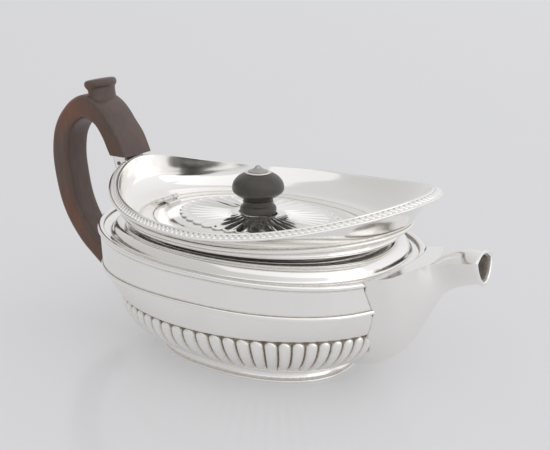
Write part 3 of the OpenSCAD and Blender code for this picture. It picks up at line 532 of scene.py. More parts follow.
def lobe_tree():
    """Raises the lobes: full fingers with a flat crown, steep sides and a round upper end."""
    def make(tree, start):
        calc = partial(maths, tree)
        share = named(tree, "lobe_share")
        side = calc("DIVIDE", off_middle(calc, named(tree, "lobe_turn")), start["Finger"])
        end = share_past(calc, named(tree, "lobe_reach"), start["Round end from"])
        away = calc("POWER", calc("ADD", calc("POWER", side, 2.0), calc("POWER", end, 2.0)), 0.5)
        away = calc("POWER", calc("MINIMUM", away, 1.0), 2.5)
        full = calc("POWER", calc("SUBTRACT", 1.0, away), 0.5)
        lift = calc("MULTIPLY", calc("MULTIPLY", full, share), start["Depth"])
        offset = scaled(tree, named(tree, "outward", "FLOAT_VECTOR"), lift)
        darkening = calc("MULTIPLY", calc("SUBTRACT", 1.0, full), share)
        darkening = calc("MULTIPLY", calc("POWER", darkening, 1.3), 0.95)
        # Adds the painted shade under the plain band's lower edge
        darkening = calc("ADD", darkening, named(tree, "edge_film"))
        return add_node(tree, "GeometryNodeStoreNamedAttribute",
                        inputs={"Geometry": moved(tree, start["Geometry"], offset),
                                "Name": "tarnish", "Value": darkening}).outputs[0]
    return shape_tree("lobe_tree", {"Depth": 0.001, "Finger": 1.0, "Round end from": 0.9}, make)


def make_bowl():
    around = LOBES * POINTS_PER_LOBE
    angles = turns(around)
    # Crown rings from the foot up to the round ends of the lobes, closer together near the top
    ups = np.concatenate([np.linspace(0, 0.1, 7)[:-1], np.linspace(0.1, 0.8, 22)[:-1],
                          np.linspace(0.8, 0.985, 17)])
    crown = np.array(oval_rings(map(crown_oval, ups), around))
    normals = ring_normals(crown)
    share = np.interp(ups, [0, 0.04, 0.14, 0.3, 1], [0.12, 0.55, 0.85, 1, 1])
    valley = crown - normals * (LOBE_DEPTH * share)[:, None, None]
    # The plain band turns in under its lower edge to the foot of the lobes
    ledge = [grown(band_oval(up), out) for up, out in
             [(0.0, -LOBE_DEPTH * 0.85), (0.012, -0.4), (0.035, -0.08), (0.06, 0)]]
    band = [band_oval(up) for up in np.linspace(0.12, 1, 9)]
    inner = [grown(shape, -SHEET) for shape in
             [BOWL_UPPER, *map(band_oval, (0.8, 0.4, 0.1))]]
    inner += [grown(crown_oval(up), -SHEET - LOBE_DEPTH)
              for up in (0.95, 0.8, 0.6, 0.4, 0.22, 0.1, 0.03, 0)]
    rings = np.concatenate([valley, oval_rings(ledge + band + inner, around)])
    rows, lobes = len(rings), len(ups)
    reach, shares, edge = np.zeros((3, rows))
    reach[:lobes] = ups
    shares[:lobes] = share
    # Painted shade on the ledge, under the plain band's lower edge where it turns in above the
    # lobes
    edge[lobes:lobes + len(ledge)] = [0.8, 0.6, 0.4, 0.15]
    outward = np.zeros_like(rings)
    outward[:lobes] = normals
    values = {"lobe_turn": np.tile(angles / (2 * np.pi) * LOBES + 0.5, rows),
              "lobe_reach": np.repeat(reach, around), "lobe_share": np.repeat(shares, around),
              "edge_film": np.repeat(edge, around), "outward": outward.reshape(-1, 3)}
    mesh = new_mesh("bowl_base", rings, grid_faces(rows, around, True), values)
    source = add_object("bowl_base", mesh)
    numbers = {"Depth": LOBE_DEPTH * MM, "Finger": 0.93, "Round end from": 0.86}
    bowl = baked("lobed_body", source, lobe_tree(), numbers, SILVER, sharp=50)
    belongs(bowl, "pot", "silver", "lobed_bowl")


# ---- Wires and frieze ----

FRIEZE_LOWER = oval(*BAND_HALF, BODY_ROUND, FRIEZE_Z)


def edge_oval(out, z):
    """An oval of the swept upper edge, inset from the top of the frieze."""
    length, width = EDGE_HALF
    front, rear = EDGE_RISE
    sweep = ((length + out) / length) ** EDGE_POWER
    return oval(length + out, width + out, BODY_ROUND, z, front * sweep, rear * sweep, 0,
                EDGE_POWER)


def make_lower_wire():
    outline = rounded([(0.35, 0.02, 0.1), (1.35, 0.35, 0.5), (1.62, 1.25, 0.6), (1.35, 2.15, 0.5),
                       (0.9, 2.48, 0.15), (-1.2, 2.48, 0.1), (-1.2, 0.02, 0.1)], 0.4, 5)
    wire = swept("lower_band_wire", outline, lambda out, up: grown(BOWL_UPPER, out, up), BRIGHT,
                 lambda out, up: 0.7 if out < 0.5 or up < 0.1 or out < 1 and up > 2.3 else 0.0)
    belongs(wire, "pot", "bright_silver", "lower_wire")


def frieze_oval(up, out):
    """An oval of the frieze: share of the way up its wall, and out from it."""
    top = edge_oval(0, FRIEZE_TOP_Z)
    shape = FRIEZE_LOWER + (top - FRIEZE_LOWER) * up
    shape[7:] = EDGE_POWER
    return grown(shape, out)


def make_frieze():
    rows = [(up, 0) for up in np.linspace(0, 1, 12)]
    rows += [(up, -SHEET) for up in np.linspace(1, 0, 5)]
    darkening = [0.6 if up in (0, 1) else 0.0 for up, out in rows]
    frieze = skin("plain_frieze", oval_rings(frieze_oval(*row) for row in rows), SILVER, darkening)
    belongs(frieze, "pot", "silver", "frieze_band")


def make_upper_wire():
    bottom = FRIEZE_TOP_Z + SEAM
    outline = rounded([(0.2, 0, 0.1), (0.85, 0.3, 0.3), (0.98, 1.0, 0.5), (0.85, 1.75, 0.4),
                       (0.2, 2.35, 0.4), (-0.7, 2.5, 0.3), (-1.5, 2.2, 0.3), (-2.2, 1.9, 0.1),
                       (-2.2, 0, 0.1)], 0.4, 5)
    wire = swept("deck_edge_wire", outline, lambda out, up: edge_oval(out, bottom + up), BRIGHT,
                 lambda out, up: 0.7 if up < 0.1 or out < -2.1 else 0.0)
    belongs(wire, "pot", "bright_silver", "upper_wire")


# ---- Shoulder, throat and seat ----

THROAT = oval(*THROAT_HALF, THROAT_ROUND, 0)
OPENING = oval(*OPENING_HALF, THROAT_ROUND, 0)


def shoulder_oval(share, z):
    edge = edge_oval(-WIRE_INSET - SEAM, z)
    sweep = share ** 3
    inner = grown(THROAT, SEAM)
    shape = inner + (edge - inner) * share
    shape[3:] = [z, edge[4] * sweep, edge[5] * sweep, 0, EDGE_POWER, EDGE_POWER]
    return shape


def make_shoulder():
    height = CUSHION_Z - DECK_Z
    top = smooth_rows([(1, 0), (0.9, 0), (0.825, 0.012), (0.783, 0.13), (0.735, 0.46),
                       (0.64, 0.79), (0.51, 0.965), (0.38, 1), (0.22, 0.94), (0.09, 0.75),
                       (0, 0.45)], 5)
    under = [(0, 0.45 - SHEET / height), (0.14, 0.58), (0.27, 0.77), (0.42, 0.8), (0.56, 0.68),
             (0.65, 0.4), (0.7, 0.08), (0.75, -0.2), (1, -0.2)]
    rows = list(top) + under
    rings = oval_rings(shoulder_oval(share, DECK_Z + height * up) for share, up in rows)
    darkening = [0.4 if 0.8 < share < 0.835 or share < 0.02 else 0.0 for share, up in rows]
    shoulder = skin("cushion_shoulder", rings, SILVER, darkening)
    belongs(shoulder, "pot", "silver", "shoulder")


def make_throat():
    low = DECK_Z + (CUSHION_Z - DECK_Z) / 2 - 2 * SHEET
    outline = rounded([(0, low), (0, LEDGE_Z - SHEET), (-SHEET, LEDGE_Z - SHEET), (-SHEET, low)],
                      0.15)
    throat = swept("upright_throat", outline, lambda out, up: grown(THROAT, out, up), SILVER,
                   lambda out, up: 0.05)
    belongs(throat, "pot", "silver", "throat_band")
    rebate, flange = 0.3, 3
    seat_top = LEDGE_Z - SHEET - rebate
    outline = rounded([(flange, seat_top + rebate), (0, seat_top + rebate), (0, seat_top),
                       (-flange, seat_top), (-flange, seat_top - SHEET),
                       (flange, seat_top - SHEET)], 0.12)
    seat = swept("lid_ledge", outline, lambda out, up: grown(OPENING, out, up), SILVER)
    belongs(seat, "pot", "silver", "lid_seat")


# ---- Cape ----

# Share of the way out along, out across and up, and how far the wall has turned outwards
CAPE_ROWS = [[0, 0, 0, 0], [0.36, 0.215, 0.1, 0.3], [0.68, 0.47, 0.34, 0.6],
             [0.84, 0.73, 0.62, 0.8], [1, 1, 1, 1]]


def cape_oval(row):
    """An oval of the cape's inside, from the ledge to the rim."""
    up = row[2]
    start = np.array([*THROAT_HALF, THROAT_ROUND])
    end = np.array([RIM_HALF[0] - SHEET, RIM_HALF[1] - SHEET, RIM_ROUND])
    mixed = start + (end - start) * row[:3]
    front, rear = RIM_RISE
    return oval(*mixed, LEDGE_Z + (RIM_Z - LEDGE_Z) * up, front * up, rear * up, RIM_SHIFT * up,
                *RIM_POWERS)


def cape_under(row):
    return grown(cape_oval(row), SHEET * row[3], -SHEET * math.sqrt(max(0, 1 - row[3] ** 2)))


def make_cape():
    rows = smooth_rows(CAPE_ROWS, 9)
    rows[:, 3] = np.clip(rows[:, 3], 0, 1)
    under = list(map(cape_under, rows))
    lip = grown(cape_oval(CAPE_ROWS[-1]), SHEET * 0.5, SHEET * 0.12)
    top = list(map(cape_oval, rows[::-1]))
    ledge = smooth_rows([grown(THROAT, 0, LEDGE_Z), grown(OPENING, 0, LEDGE_Z)], 4)[1:]
    shapes = [*under, lip, *top, *ledge, grown(OPENING, 0, LEDGE_Z - SHEET)]
    # Film gathers against the neck moulding, at the lip, and where the dish meets the ledge
    darkening = np.zeros(len(shapes))
    darkening[:12] = 0.35
    darkening[len(under)] = 0.1
    dish_end = len(under) + 1 + len(top)
    darkening[dish_end - 2:dish_end] = [0.35, 0.5]
    darkening[-2:] = [0.2, 0.5]
    cape = skin("swept_cape", oval_rings(shapes, CAPE_AROUND), SILVER, darkening)
    belongs(cape, "pot", "silver", "cape")


def make_moulding():
    inner = grown(cape_under(CAPE_ROWS[1]), 0, -SEAM)
    outer = grown(cape_under(CAPE_ROWS[2]), 0, -SEAM)
    reed = 2.2
    rows = [grown(inner, reed * out, reed * up) for out, up in
            ((-0.6, -0.95), (-0.1, -1.1), (0.75, -0.85), (1.15, -0.35), (1.05, 0.05), (0.95, 0.2))]
    cove_end = grown(outer, -reed * 0.3, -reed * 0.95)
    cove = smooth_rows([rows[-1], grown(0.5 * (rows[-1] + cove_end), 0.25, 0.35), cove_end], 4)
    upper = [grown(outer, reed * out, reed * up) for out, up in
             ((0.15, -0.95), (0.5, -0.6), (0.45, -0.15))] + [grown(outer, SEAM)]
    shapes = list(smooth_rows(rows, 4)) + list(cove[1:]) + list(smooth_rows(upper, 4))
    shapes.append(grown(inner, SEAM))
    # Film lies in the cove between the reeds and at both edges
    darkening = np.zeros(len(shapes))
    for gathered in (slice(0, 3), slice(21, 25), slice(-4, None)):
        darkening[gathered] = 0.3
    moulding = skin("reeded_neck", oval_rings(shapes), BRIGHT, darkening, sharp=50)
    belongs(moulding, "pot", "bright_silver", "neck_moulding")


# ---- Gadrooned border ----

RIM = grown(cape_oval(CAPE_ROWS[-1]), SHEET + SEAM)
RIDGES = 172
RIDGE_SIZE = (4.3, 2.55, 0.6)
RIDGE_SLANT = 0.62
RIDGE_PLACE = (1.95, -0.95)
BORDER_WIDTH = 4.5
BORDER_SLOPE = math.radians(20)
SOCKET_GAP = 8.9


def even_ring(shape, count):
    """Points spaced evenly round an oval, with their directions along it and out from it."""
    dense = oval_points(shape, turns(7200))
    steps = np.linalg.norm(np.roll(dense, -1, 0) - dense, axis=1)
    run = np.concatenate([[0], np.cumsum(steps)])
    wanted = (np.arange(count) + 0.5) / count * run[-1]
    closed = np.vstack([dense, dense[:1]])
    points = np.stack([np.interp(wanted, run, closed[:, i]) for i in range(3)], 1)
    ahead = np.roll(points, -1, 0) - np.roll(points, 1, 0)
    ahead /= np.linalg.norm(ahead, axis=1, keepdims=True)
    out = np.cross(ahead, [0, 0, 1])
    out /= np.linalg.norm(out, axis=1, keepdims=True)
    return points, ahead, out


def ridge_mesh(length, width, height):
    """One slanted ridge of the border: a full, rounded bar with tapered ends."""
    rows, sides = 9, 8
    points = []
    for i in range(rows):
        t = -1 + 2 * i / (rows - 1)
        size = max(0.04, (1 - abs(t) ** 2.6) ** 0.5)
        bow = 0.16 * width * math.sin(t * math.pi / 2)
        for j in range(sides):
            a = 2 * math.pi * j / sides
            points.append([length / 2 * t, bow + width / 2 * size * math.cos(a),
                           height * (0.35 + 0.65 * size) * math.sin(a)])
    mesh = new_mesh("ridge", points, grid_faces(rows, sides, False).tolist()
                    + end_faces(rows, sides))
    finish_mesh(mesh, None)
    return mesh


def border_tree(ridge):
    """Lays a copy of the ridge on every point, turned to the point's own direction."""
    def make(tree, start):
        points = add_node(tree, "GeometryNodeMeshToPoints", inputs={0: start["Geometry"]})
        part = add_node(tree, "GeometryNodeObjectInfo", {"transform_space": "ORIGINAL"},
                        {"Object": ridge})
        turn = add_node(tree, "FunctionNodeAlignRotationToVector", {"axis": "X"},
                        {"Vector": named(tree, "ridge_along", "FLOAT_VECTOR")})
        turn = add_node(tree, "FunctionNodeAlignRotationToVector",
                        {"axis": "Z", "pivot_axis": "X"},
                        {"Rotation": turn.outputs[0],
                         "Vector": named(tree, "ridge_up", "FLOAT_VECTOR")})
        inputs = {"Points": points.outputs[0], "Instance": part.outputs["Geometry"],
                  "Rotation": turn.outputs[0]}
        return add_node(tree, "GeometryNodeInstanceOnPoints", inputs=inputs).outputs[0]
    return shape_tree("border_tree", {}, make)


def make_border():
    outline = [(0.0, -2.3), (3.3, -2.5), (4.1, -2.4), (4.45, -2.0), (4.4, -1.65), (3.9, -1.35),
               (3.2, -1.2), (2.2, -1.22), (1.0, -0.95), (0.45, -0.7), (0.3, -0.1), (0.15, 0.12),
               (0.0, 0.14)]
    outline = rounded(outline, 0.2)
    rings = oval_rings((grown(RIM, out, up) for out, up in outline), BORDER_AROUND)
    # Painted shade in the groove inside the border, under and between the ridges
    darkening = [0.75 if -1.24 < up < -0.3 and out < 2.6 else 0.0 for out, up in outline]
    base = skin("border_base", rings, BRIGHT, darkening)
    # Ridges lie across the border, slanted, on its slope
    points, ahead, out = even_ring(grown(RIM, *RIDGE_PLACE), RIDGES)
    slope = out * math.cos(BORDER_SLOPE) - np.array([0, 0, 1]) * math.sin(BORDER_SLOPE)
    along = slope + ahead * RIDGE_SLANT
    along /= np.linalg.norm(along, axis=1, keepdims=True)
    up = np.cross(ahead, slope)
    up *= np.sign(up[:, 2:3])
    keep = (np.abs(points[:, 1]) > SOCKET_GAP) | (points[:, 0] > 0)
    values = {"ridge_along": along[keep], "ridge_up": up[keep]}
    source = add_object("ridge_places", new_mesh("ridge_places", points[keep], [], values))
    ridge = add_object("ridge", ridge_mesh(*RIDGE_SIZE))
    ridges = baked("border_ridges", source, border_tree(ridge), {}, BRIGHT, sharp=None)
    bpy.data.objects.remove(ridge)
    border = join_pieces("gadrooned_border", [base, ridges])
    belongs(border, "pot", "bright_silver", "cape_border")


# ---- Spout ----

SPOUT_REACH = 36.5
SPOUT_RISE = 11.7
KEEL_DEPTH = FRIEZE_TOP_Z - FOOT_Z
HOOD_START = 0.4
HOOD_HEIGHT = 4.6
HOOD_FULLNESS = 1.36
MOUTH_HEIGHT = 11.6
MOUTH_TILT = math.radians(6)
HALF_WIDTHS = np.array([31.5, 5.8, 8.3])
SPOUT_ROWS = [
    [-0.41, 0.01, -0.96, 1, 1.1, 0, 0], [-0.14, 0.16, -0.438, 0.945, 1, 0, 0],
    [0.028, 0.29, -0.137, 0.82, 0.93, 0, 0], [0.14, 0.372, 0.084, 0.667, 0.85, 0, 0],
    [0.2, 0.419, 0.219, 0.511, 0.71, 0, 0], [0.26, 0.47, 0.329, 0.374, 0.54, 0, 0],
    [0.312, 0.507, 0.425, 0.255, 0.35, 0, 0], [0.39, 0.563, 0.53, 0.141, 0, 1.05, 0],
    [0.54, 0.665, 0.675, 0.078, 0, 1, 0], [0.72, 0.79, 0.815, 0.038, 0, 0.6, 0.4],
    [0.9, 0.92, 0.94, 0.012, 0, 0.2, 0.8], [1, 1, 1, 0, 0, 0, 1]]


def spout_row(row):
    """Reach, top edge [x, z], keel [x, z] and half width of a row."""
    root = EDGE_HALF[0]
    top = np.array([root + SPOUT_REACH * row[0], FRIEZE_TOP_Z + SPOUT_RISE * row[1]])
    keel = np.array([root + SPOUT_REACH * row[2], FRIEZE_TOP_Z - KEEL_DEPTH * row[3]])
    if row[0] == 1:
        keel = top + MOUTH_HEIGHT * np.array([math.sin(MOUTH_TILT), -math.cos(MOUTH_TILT)])
    return np.array([row[0], *top, *keel, float(HALF_WIDTHS @ row[4:7])])


def leaf_width(depth, reach):
    fullness = 0.5 + 0.35 * max(0, min(1, reach))
    return (1 - depth) * (1 - fullness) + np.sqrt(1 - depth ** 2) * fullness


def spout_section(row, thin):
    """Points round one section, from the keel up one side, over the top and down the other."""
    reach, edge, keel, half = row[0], row[1:3], row[3:5], row[5]
    down = (keel - edge) / np.linalg.norm(keel - edge)
    drop = np.linalg.norm(keel - edge) - thin * 2.6
    half = half - thin * 1.25
    start = edge + down * thin
    depths = 1 - np.linspace(0, 1, 31)[1:] ** 1.6
    along = max(0, (reach - HOOD_START) / (1 - HOOD_START))
    hood = HOOD_HEIGHT * HOOD_FULLNESS * along ** 0.5 * (1 - along ** 4 / 2)
    across = np.linspace(0.94, -0.94, 33)
    side = [(half * leaf_width(depth, reach), depth) for depth in depths]
    over = [(half * share, -hood * (1 - share ** 2) / drop) for share in across]
    places = [(0, 1)] + side + over + [(-y, depth) for y, depth in side[::-1]]
    places = np.array(places)
    spots = start + down * (drop * places[:, 1:2])
    return np.stack([spots[:, 0], places[:, 0], spots[:, 1]], 1)


# The pot's outside at its heights, from the foot to above the wire round the frieze
OUTSIDE = [(FOOT_Z, FOOT_UPPER), (BOWL_Z, LOBE_LOWER)]
OUTSIDE += [(crown_oval(up)[3], grown(crown_oval(up), -0.5))
            for up in (0.05, 0.1, 0.2, 0.3, 0.45, 0.6, 0.8, 0.95)]
OUTSIDE += [(band_oval(up)[3], band_oval(up)) for up in (0.02, 0.3, 0.6, 1)]
OUTSIDE += [(z, grown(BOWL_UPPER, 1.45)) for z in (LOWER_WIRE_Z + 0.3, FRIEZE_Z - 0.2)]
OUTSIDE += [(z, grown(FRIEZE_LOWER, out))
            for z, out in ((FRIEZE_Z + 0.05, 0), (FRIEZE_TOP_Z - 1.5, 1),
                           (FRIEZE_TOP_Z - 1.4, 1.9), (FRIEZE_TOP_Z + 1.0, 1.8), (200, 1.8))]


def outside_body(points):
    heights = [z for z, shape in OUTSIDE]
    length, width, roundness = [np.interp(points[..., 2], heights, [row[i] for z, row in OUTSIDE])
                                for i in range(3)]
    return (np.abs(points[..., 0] / length) ** roundness
            + np.abs(points[..., 1] / width) ** roundness) > 1


def trimmed_lines(rings, count):
    """Lines along the spout that start where each one leaves the body, with count points each."""
    lines = []
    for line in np.swapaxes(rings, 0, 1):
        outside = outside_body(line)
        first = len(line) - 1 - np.argmin(outside[::-1]) if not outside.all() else 0
        first = min(first, len(line) - 2)
        low, high = 0.0, 1.0
        for _ in range(18):
            middle = (low + high) / 2
            spot = line[first] * (1 - middle) + line[first + 1] * middle
            low, high = (low, middle) if outside_body(spot) else (middle, high)
        start = line[first] * (1 - low) + line[first + 1] * low
        rest = np.vstack([start, line[first + 1:]])
        run = np.concatenate([[0], np.cumsum(np.linalg.norm(np.diff(rest, axis=0), axis=1))])
        wanted = run[-1] * np.linspace(0, 1, count)
        lines.append(np.stack([np.interp(wanted, run, rest[:, i]) for i in range(3)], 1))
    return np.swapaxes(np.array(lines), 0, 1)


def make_spout():
    rows = smooth_rows([spout_row(row) for row in SPOUT_ROWS], 12)
    outer = trimmed_lines(np.array([spout_section(row, 0) for row in rows]), 110)
    inner = trimmed_lines(np.array([spout_section(row, SHEET) for row in rows]), 60)
    rings = np.concatenate([outer, inner[::-1]])
    darkening = np.zeros(len(rings))
    darkening[:2] = [0.75, 0.3]
    darkening[len(outer):] = 0.8
    darkening[len(outer)] = 0.3
    spout = skin("leaf_spout", rings, SILVER, darkening, sharp=34)
    belongs(spout, "pot", "silver", "spout")
    # The lip: a rounded, slightly thicker edge round the mouth
    mouth = rows[-1]
    profile = rounded([(-0.55, -0.6, 0.3), (-0.5, 1.2, 0.5), (0.55, 1.35, 0.5), (1.0, 0.4, 0.4),
                       (1.1, -0.6, 0.2)], 0.4, 5)
    out = np.array([math.cos(MOUTH_TILT), 0, math.sin(MOUTH_TILT)])
    lip_rings = [spout_section(mouth, thin) + out * ahead for thin, ahead in profile]
    darkening = [0.7 if thin > 0.8 else 0.0 for thin, ahead in profile]
    lip = skin("spout_mouth_lip", lip_rings, BRIGHT, darkening, sharp=50)
    belongs(lip, "pot", "bright_silver", "spout_lip")


# ---- Handle and sockets ----

HANDLE_WIDTH = 22.0
HANDLE_THICK = 11.6
HANDLE_REACH = 46.0
HANDLE_CREST = 24.6
SOCKET_THICK = 12.0
UPPER_SOCKET_THICK = SOCKET_THICK * 0.79
SOCKET_WIDTH = 17.4
UPPER_SOCKET_HEIGHT = 10.7
SOCKET_ABOVE_RIM = 1.0
LOWER_SOCKET_REACH = 9.5
LOWER_SOCKET_RISE = 19.6
TENON_DEPTH = 8.0
THUMB_SIZE = (12.5, 20.4, 5.6)
THUMB_TILT = math.radians(10)
THUMB_BACK = 0.44
UPPER_TOP = np.array([RIM_SHIFT - RIM_HALF[0] - UPPER_SOCKET_THICK / 2 - BORDER_WIDTH * 0.38,
                      RIM_Z + RIM_RISE[1] + SOCKET_ABOVE_RIM])
UPPER_FOOT = UPPER_TOP - np.array([0, UPPER_SOCKET_HEIGHT])
WOOD_TOP = UPPER_TOP + np.array([(HANDLE_THICK - UPPER_SOCKET_THICK) / 2, 0])
LOWER_ANGLE = -36.5
LOWER_ALONG = np.array([math.cos(math.radians(LOWER_ANGLE)), math.sin(math.radians(LOWER_ANGLE))])
LOWER_END = np.array([-LOBES_HALF[0] - LOWER_SOCKET_REACH, FOOT_Z + LOWER_SOCKET_RISE])
LOWER_BEND = LOWER_END + LOWER_ALONG * (TENON_DEPTH + SHEET)
# Share of the way back, share up the crest or down the drop, shares of thickness and width
HANDLE_ROWS = [
    [0.086, 0.325, 1, 1], [0.173, 0.557, 0.92, 1], [0.263, 0.764, 0.95, 1],
    [0.373, 0.911, 1.06, 1], [0.52, 0.992, 1.14, 0.98], [0.673, 0.902, 1.06, 0.94],
    [0.816, 0.699, 1, 0.88], [0.914, 0.463, 1.01, 0.84], [0.974, 0.179, 1.05, 0.815],
    [1, -0.08, 1.08, 0.8], [0.976, -0.239, 1.09, 0.79], [0.908, -0.428, 1.07, 0.78],
    [0.792, -0.583, 1.05, 0.76], [0.625, -0.717, 1.02, 0.74], [0.448, -0.808, 1, 0.73],
    [0.236, -0.902, 1, 0.73]]


def box_section(centre, angle, thickness, width, corner):
    """A rounded rectangle that faces along a direction in the XZ plane."""
    along = np.array([math.cos(angle), math.sin(angle)])
    across = np.array([-along[1], along[0]])
    side = np.array([width / 2 - corner, thickness / 2 - corner])
    steps = 5

    def spot(quarter, turned):
        signs = [(1, 1), (-1, 1), (-1, -1), (1, -1)][quarter % 4]
        turn = math.radians(90 * turned)
        return side * signs + corner * np.array([math.cos(turn), math.sin(turn)])

    places = []
    for quarter in range(4):
        places += [spot(quarter, quarter + step / steps) for step in range(steps + 1)]
        last, end = places[-1], spot(quarter + 1, quarter + 1)
        places += [last + (end - last) * k / steps for k in range(1, steps)]
    places = np.array(places)
    spots = np.array(centre) + across * places[:, 1:2]
    return np.stack([spots[:, 0], places[:, 0], spots[:, 1]], 1)


def crowned(section, centre, amount):
    """A section whose wide faces swell a little at the middle."""
    half = np.abs(section[:, 1]).max()
    share = 1 - (section[:, 1] / half) ** 2
    away = section - np.array([centre[0], 0, centre[1]])
    away[:, 1] = 0
    size = np.linalg.norm(away, axis=1, keepdims=True)
    return section + away / np.maximum(size, 1e-6) * (amount * share)[:, None]


def make_handle():
    drop = WOOD_TOP[1] - LOWER_END[1]
    back = WOOD_TOP[0] - HANDLE_REACH
    rows = [[*WOOD_TOP, HANDLE_THICK * 1.04, HANDLE_WIDTH]]
    for share, up, thick, wide in HANDLE_ROWS:
        start = WOOD_TOP[0] if up > 0 else LOWER_END[0]
        rows.append([start + (back - start) * share,
                     WOOD_TOP[1] + (HANDLE_CREST if up > 0 else drop) * up,
                     HANDLE_THICK * thick, HANDLE_WIDTH * wide])
    rows.append([*LOWER_END, HANDLE_THICK, HANDLE_WIDTH * 0.74])
    line = smooth_rows(rows, 10)
    angles = np.unwrap(np.arctan2(np.gradient(line[:, 1]), np.gradient(line[:, 0])))
    start = math.radians(90)
    end = math.radians(LOWER_ANGLE)
    end += 2 * math.pi * round((angles[-1] - end) / (2 * math.pi))
    blend = 10
    for i in range(blend):
        angles[i] = start + (angles[i] - start) * i / blend
        angles[-1 - i] = end + (angles[-1 - i] - end) * i / blend
    # Arrises crisp beside the sockets and softer where the hand holds it
    corners = np.interp(np.linspace(0, 1, len(line)), [0, 0.08, 0.35, 0.8, 1],
                        [1.3, 1.8, 2.7, 2.7, 1.6])
    rings = [crowned(box_section(place[:2], angle, place[2] - 0.6, place[3], corner), place[:2],
                     0.3) for place, angle, corner in zip(line, angles, corners)]
    wood = skin("wood_handle", rings, WOOD, sharp=60, closed=False)
    # The thumbpiece, a full rounded roll on a neck that grows out of the crest
    length, width, thick = THUMB_SIZE
    place = (WOOD_TOP[0] - HANDLE_REACH * THUMB_BACK,
             WOOD_TOP[1] + HANDLE_CREST + HANDLE_THICK * 0.54 + thick * 1.48)
    rows = smooth_rows([(0.6, 0.9, -thick * 2.5), (0.62, 0.9, -thick * 1.7),
                        (0.66, 0.9, -thick * 1.15), (0.7, 0.92, -thick * 0.92),
                        (0.88, 0.96, -thick * 0.74), (0.98, 0.99, -thick * 0.54),
                        (0.98, 0.99, -thick * 0.34), (0.89, 0.94, -thick * 0.15),
                        (0.72, 0.81, -thick * 0.045), (0.4, 0.46, 0), (0.06, 0.06, 0)], 5)
    rings = []
    for along, across, up in rows:
        ring = oval_points(oval(length / 2 * along, width / 2 * across, 2.5, up), turns(72))
        x = ring[:, 0] * math.cos(THUMB_TILT) - ring[:, 2] * math.sin(THUMB_TILT)
        z = ring[:, 0] * math.sin(THUMB_TILT) + ring[:, 2] * math.cos(THUMB_TILT)
        rings.append(np.stack([place[0] + x, ring[:, 1], place[1] + z], 1))
    thumb = skin("thumbpiece", rings, WOOD, sharp=60, closed=False)
    handle = join_pieces("carved_handle", [wood, thumb])
    belongs(handle, "pot", "wood", "handle")


def bar(name, rows, corner, steps, material):
    """A bar through rows of place, angle in degrees, thickness and width."""
    rows = smooth_rows([[*row[0], math.radians(row[1]), row[2], row[3]] for row in rows], steps)
    rings = [box_section(row[:2], row[2], row[3], row[4], corner) for row in rows]
    return skin(name, rings, material, sharp=44, closed=False)


def make_sockets():
    thick = UPPER_SOCKET_THICK
    rows = [(UPPER_FOOT, 90, thick * 0.5, SOCKET_WIDTH * 0.8),
            (UPPER_FOOT + [0, 0.9], 90, thick * 0.66, SOCKET_WIDTH * 0.86),
            (UPPER_FOOT + [0, 4.2], 90, thick * 0.8, SOCKET_WIDTH * 0.93),
            (UPPER_TOP, 90, thick, SOCKET_WIDTH)]
    upper = bar("upper_handle_socket", rows, 1.6, 5, SILVER)
    belongs(upper, "pot", "silver", "upper_socket")
    drop = np.array([SOCKET_THICK * 0.8, -2.0])
    rows = [(LOWER_END, LOWER_ANGLE, SOCKET_THICK, SOCKET_WIDTH),
            (LOWER_BEND, LOWER_ANGLE, SOCKET_THICK * 1.08, SOCKET_WIDTH * 1.05),
            (LOWER_BEND + drop, -5, SOCKET_THICK * 1.2, SOCKET_WIDTH * 1.12),
            ((-66, LOWER_BEND[1] - 2), 0, SOCKET_THICK * 1.23, SOCKET_WIDTH * 1.14)]
    lower = bar("lower_handle_socket", rows, 1.8, 8, SILVER)
    belongs(lower, "pot", "silver", "lower_socket")


# ---- Lid ----

LID_EDGE = oval(*LID_HALF, THROAT_ROUND, LEDGE_Z)
BEZEL_HEIGHT = 5
PATERA_HEIGHT = 1.15


def make_lid():
    top = oval(*DOME_HALF, PATERA_ROUND, DOME_Z)
    border = grown(LID_EDGE, -5.0)
    shapes = [grown(LID_EDGE, out, up) for out, up in
              ((-0.15, -SHEET), (0, -SHEET + 0.15), (0, -0.25), (-0.08, -0.08), (-0.25, 0))]
    shapes += list(smooth_rows([grown(LID_EDGE, -0.6), border,
                                grown((border + top) / 2, 0, 0.15), top], 6))
    # The flat middle, over and then under
    for share, z in [(share, DOME_Z - 0.02) for share in (0.8, 0.5, 0.2, 0.05)] + [
            (share, DOME_Z - SHEET) for share in (0.05, 0.5, 0.98)]:
        shapes.append(oval(top[0] * share, top[1] * share, PATERA_ROUND, z))
    shapes.append(grown(LID_EDGE, -6.6, -SHEET))
    lid = skin("oval_lid", oval_rings(shapes), SILVER)
    belongs(lid, "lid", "silver", "lid_plate")
    outline = rounded([(0, 0), (0, BEZEL_HEIGHT), (-SHEET, BEZEL_HEIGHT), (-SHEET, 0)], 0.2)
    bezel_edge = grown(LID_EDGE, -3.3, -SHEET - BEZEL_HEIGHT)
    bezel = swept("lid_bezel_rim", outline, lambda out, up: grown(bezel_edge, out, up), SILVER)
    belongs(bezel, "lid", "silver", "lid_bezel")


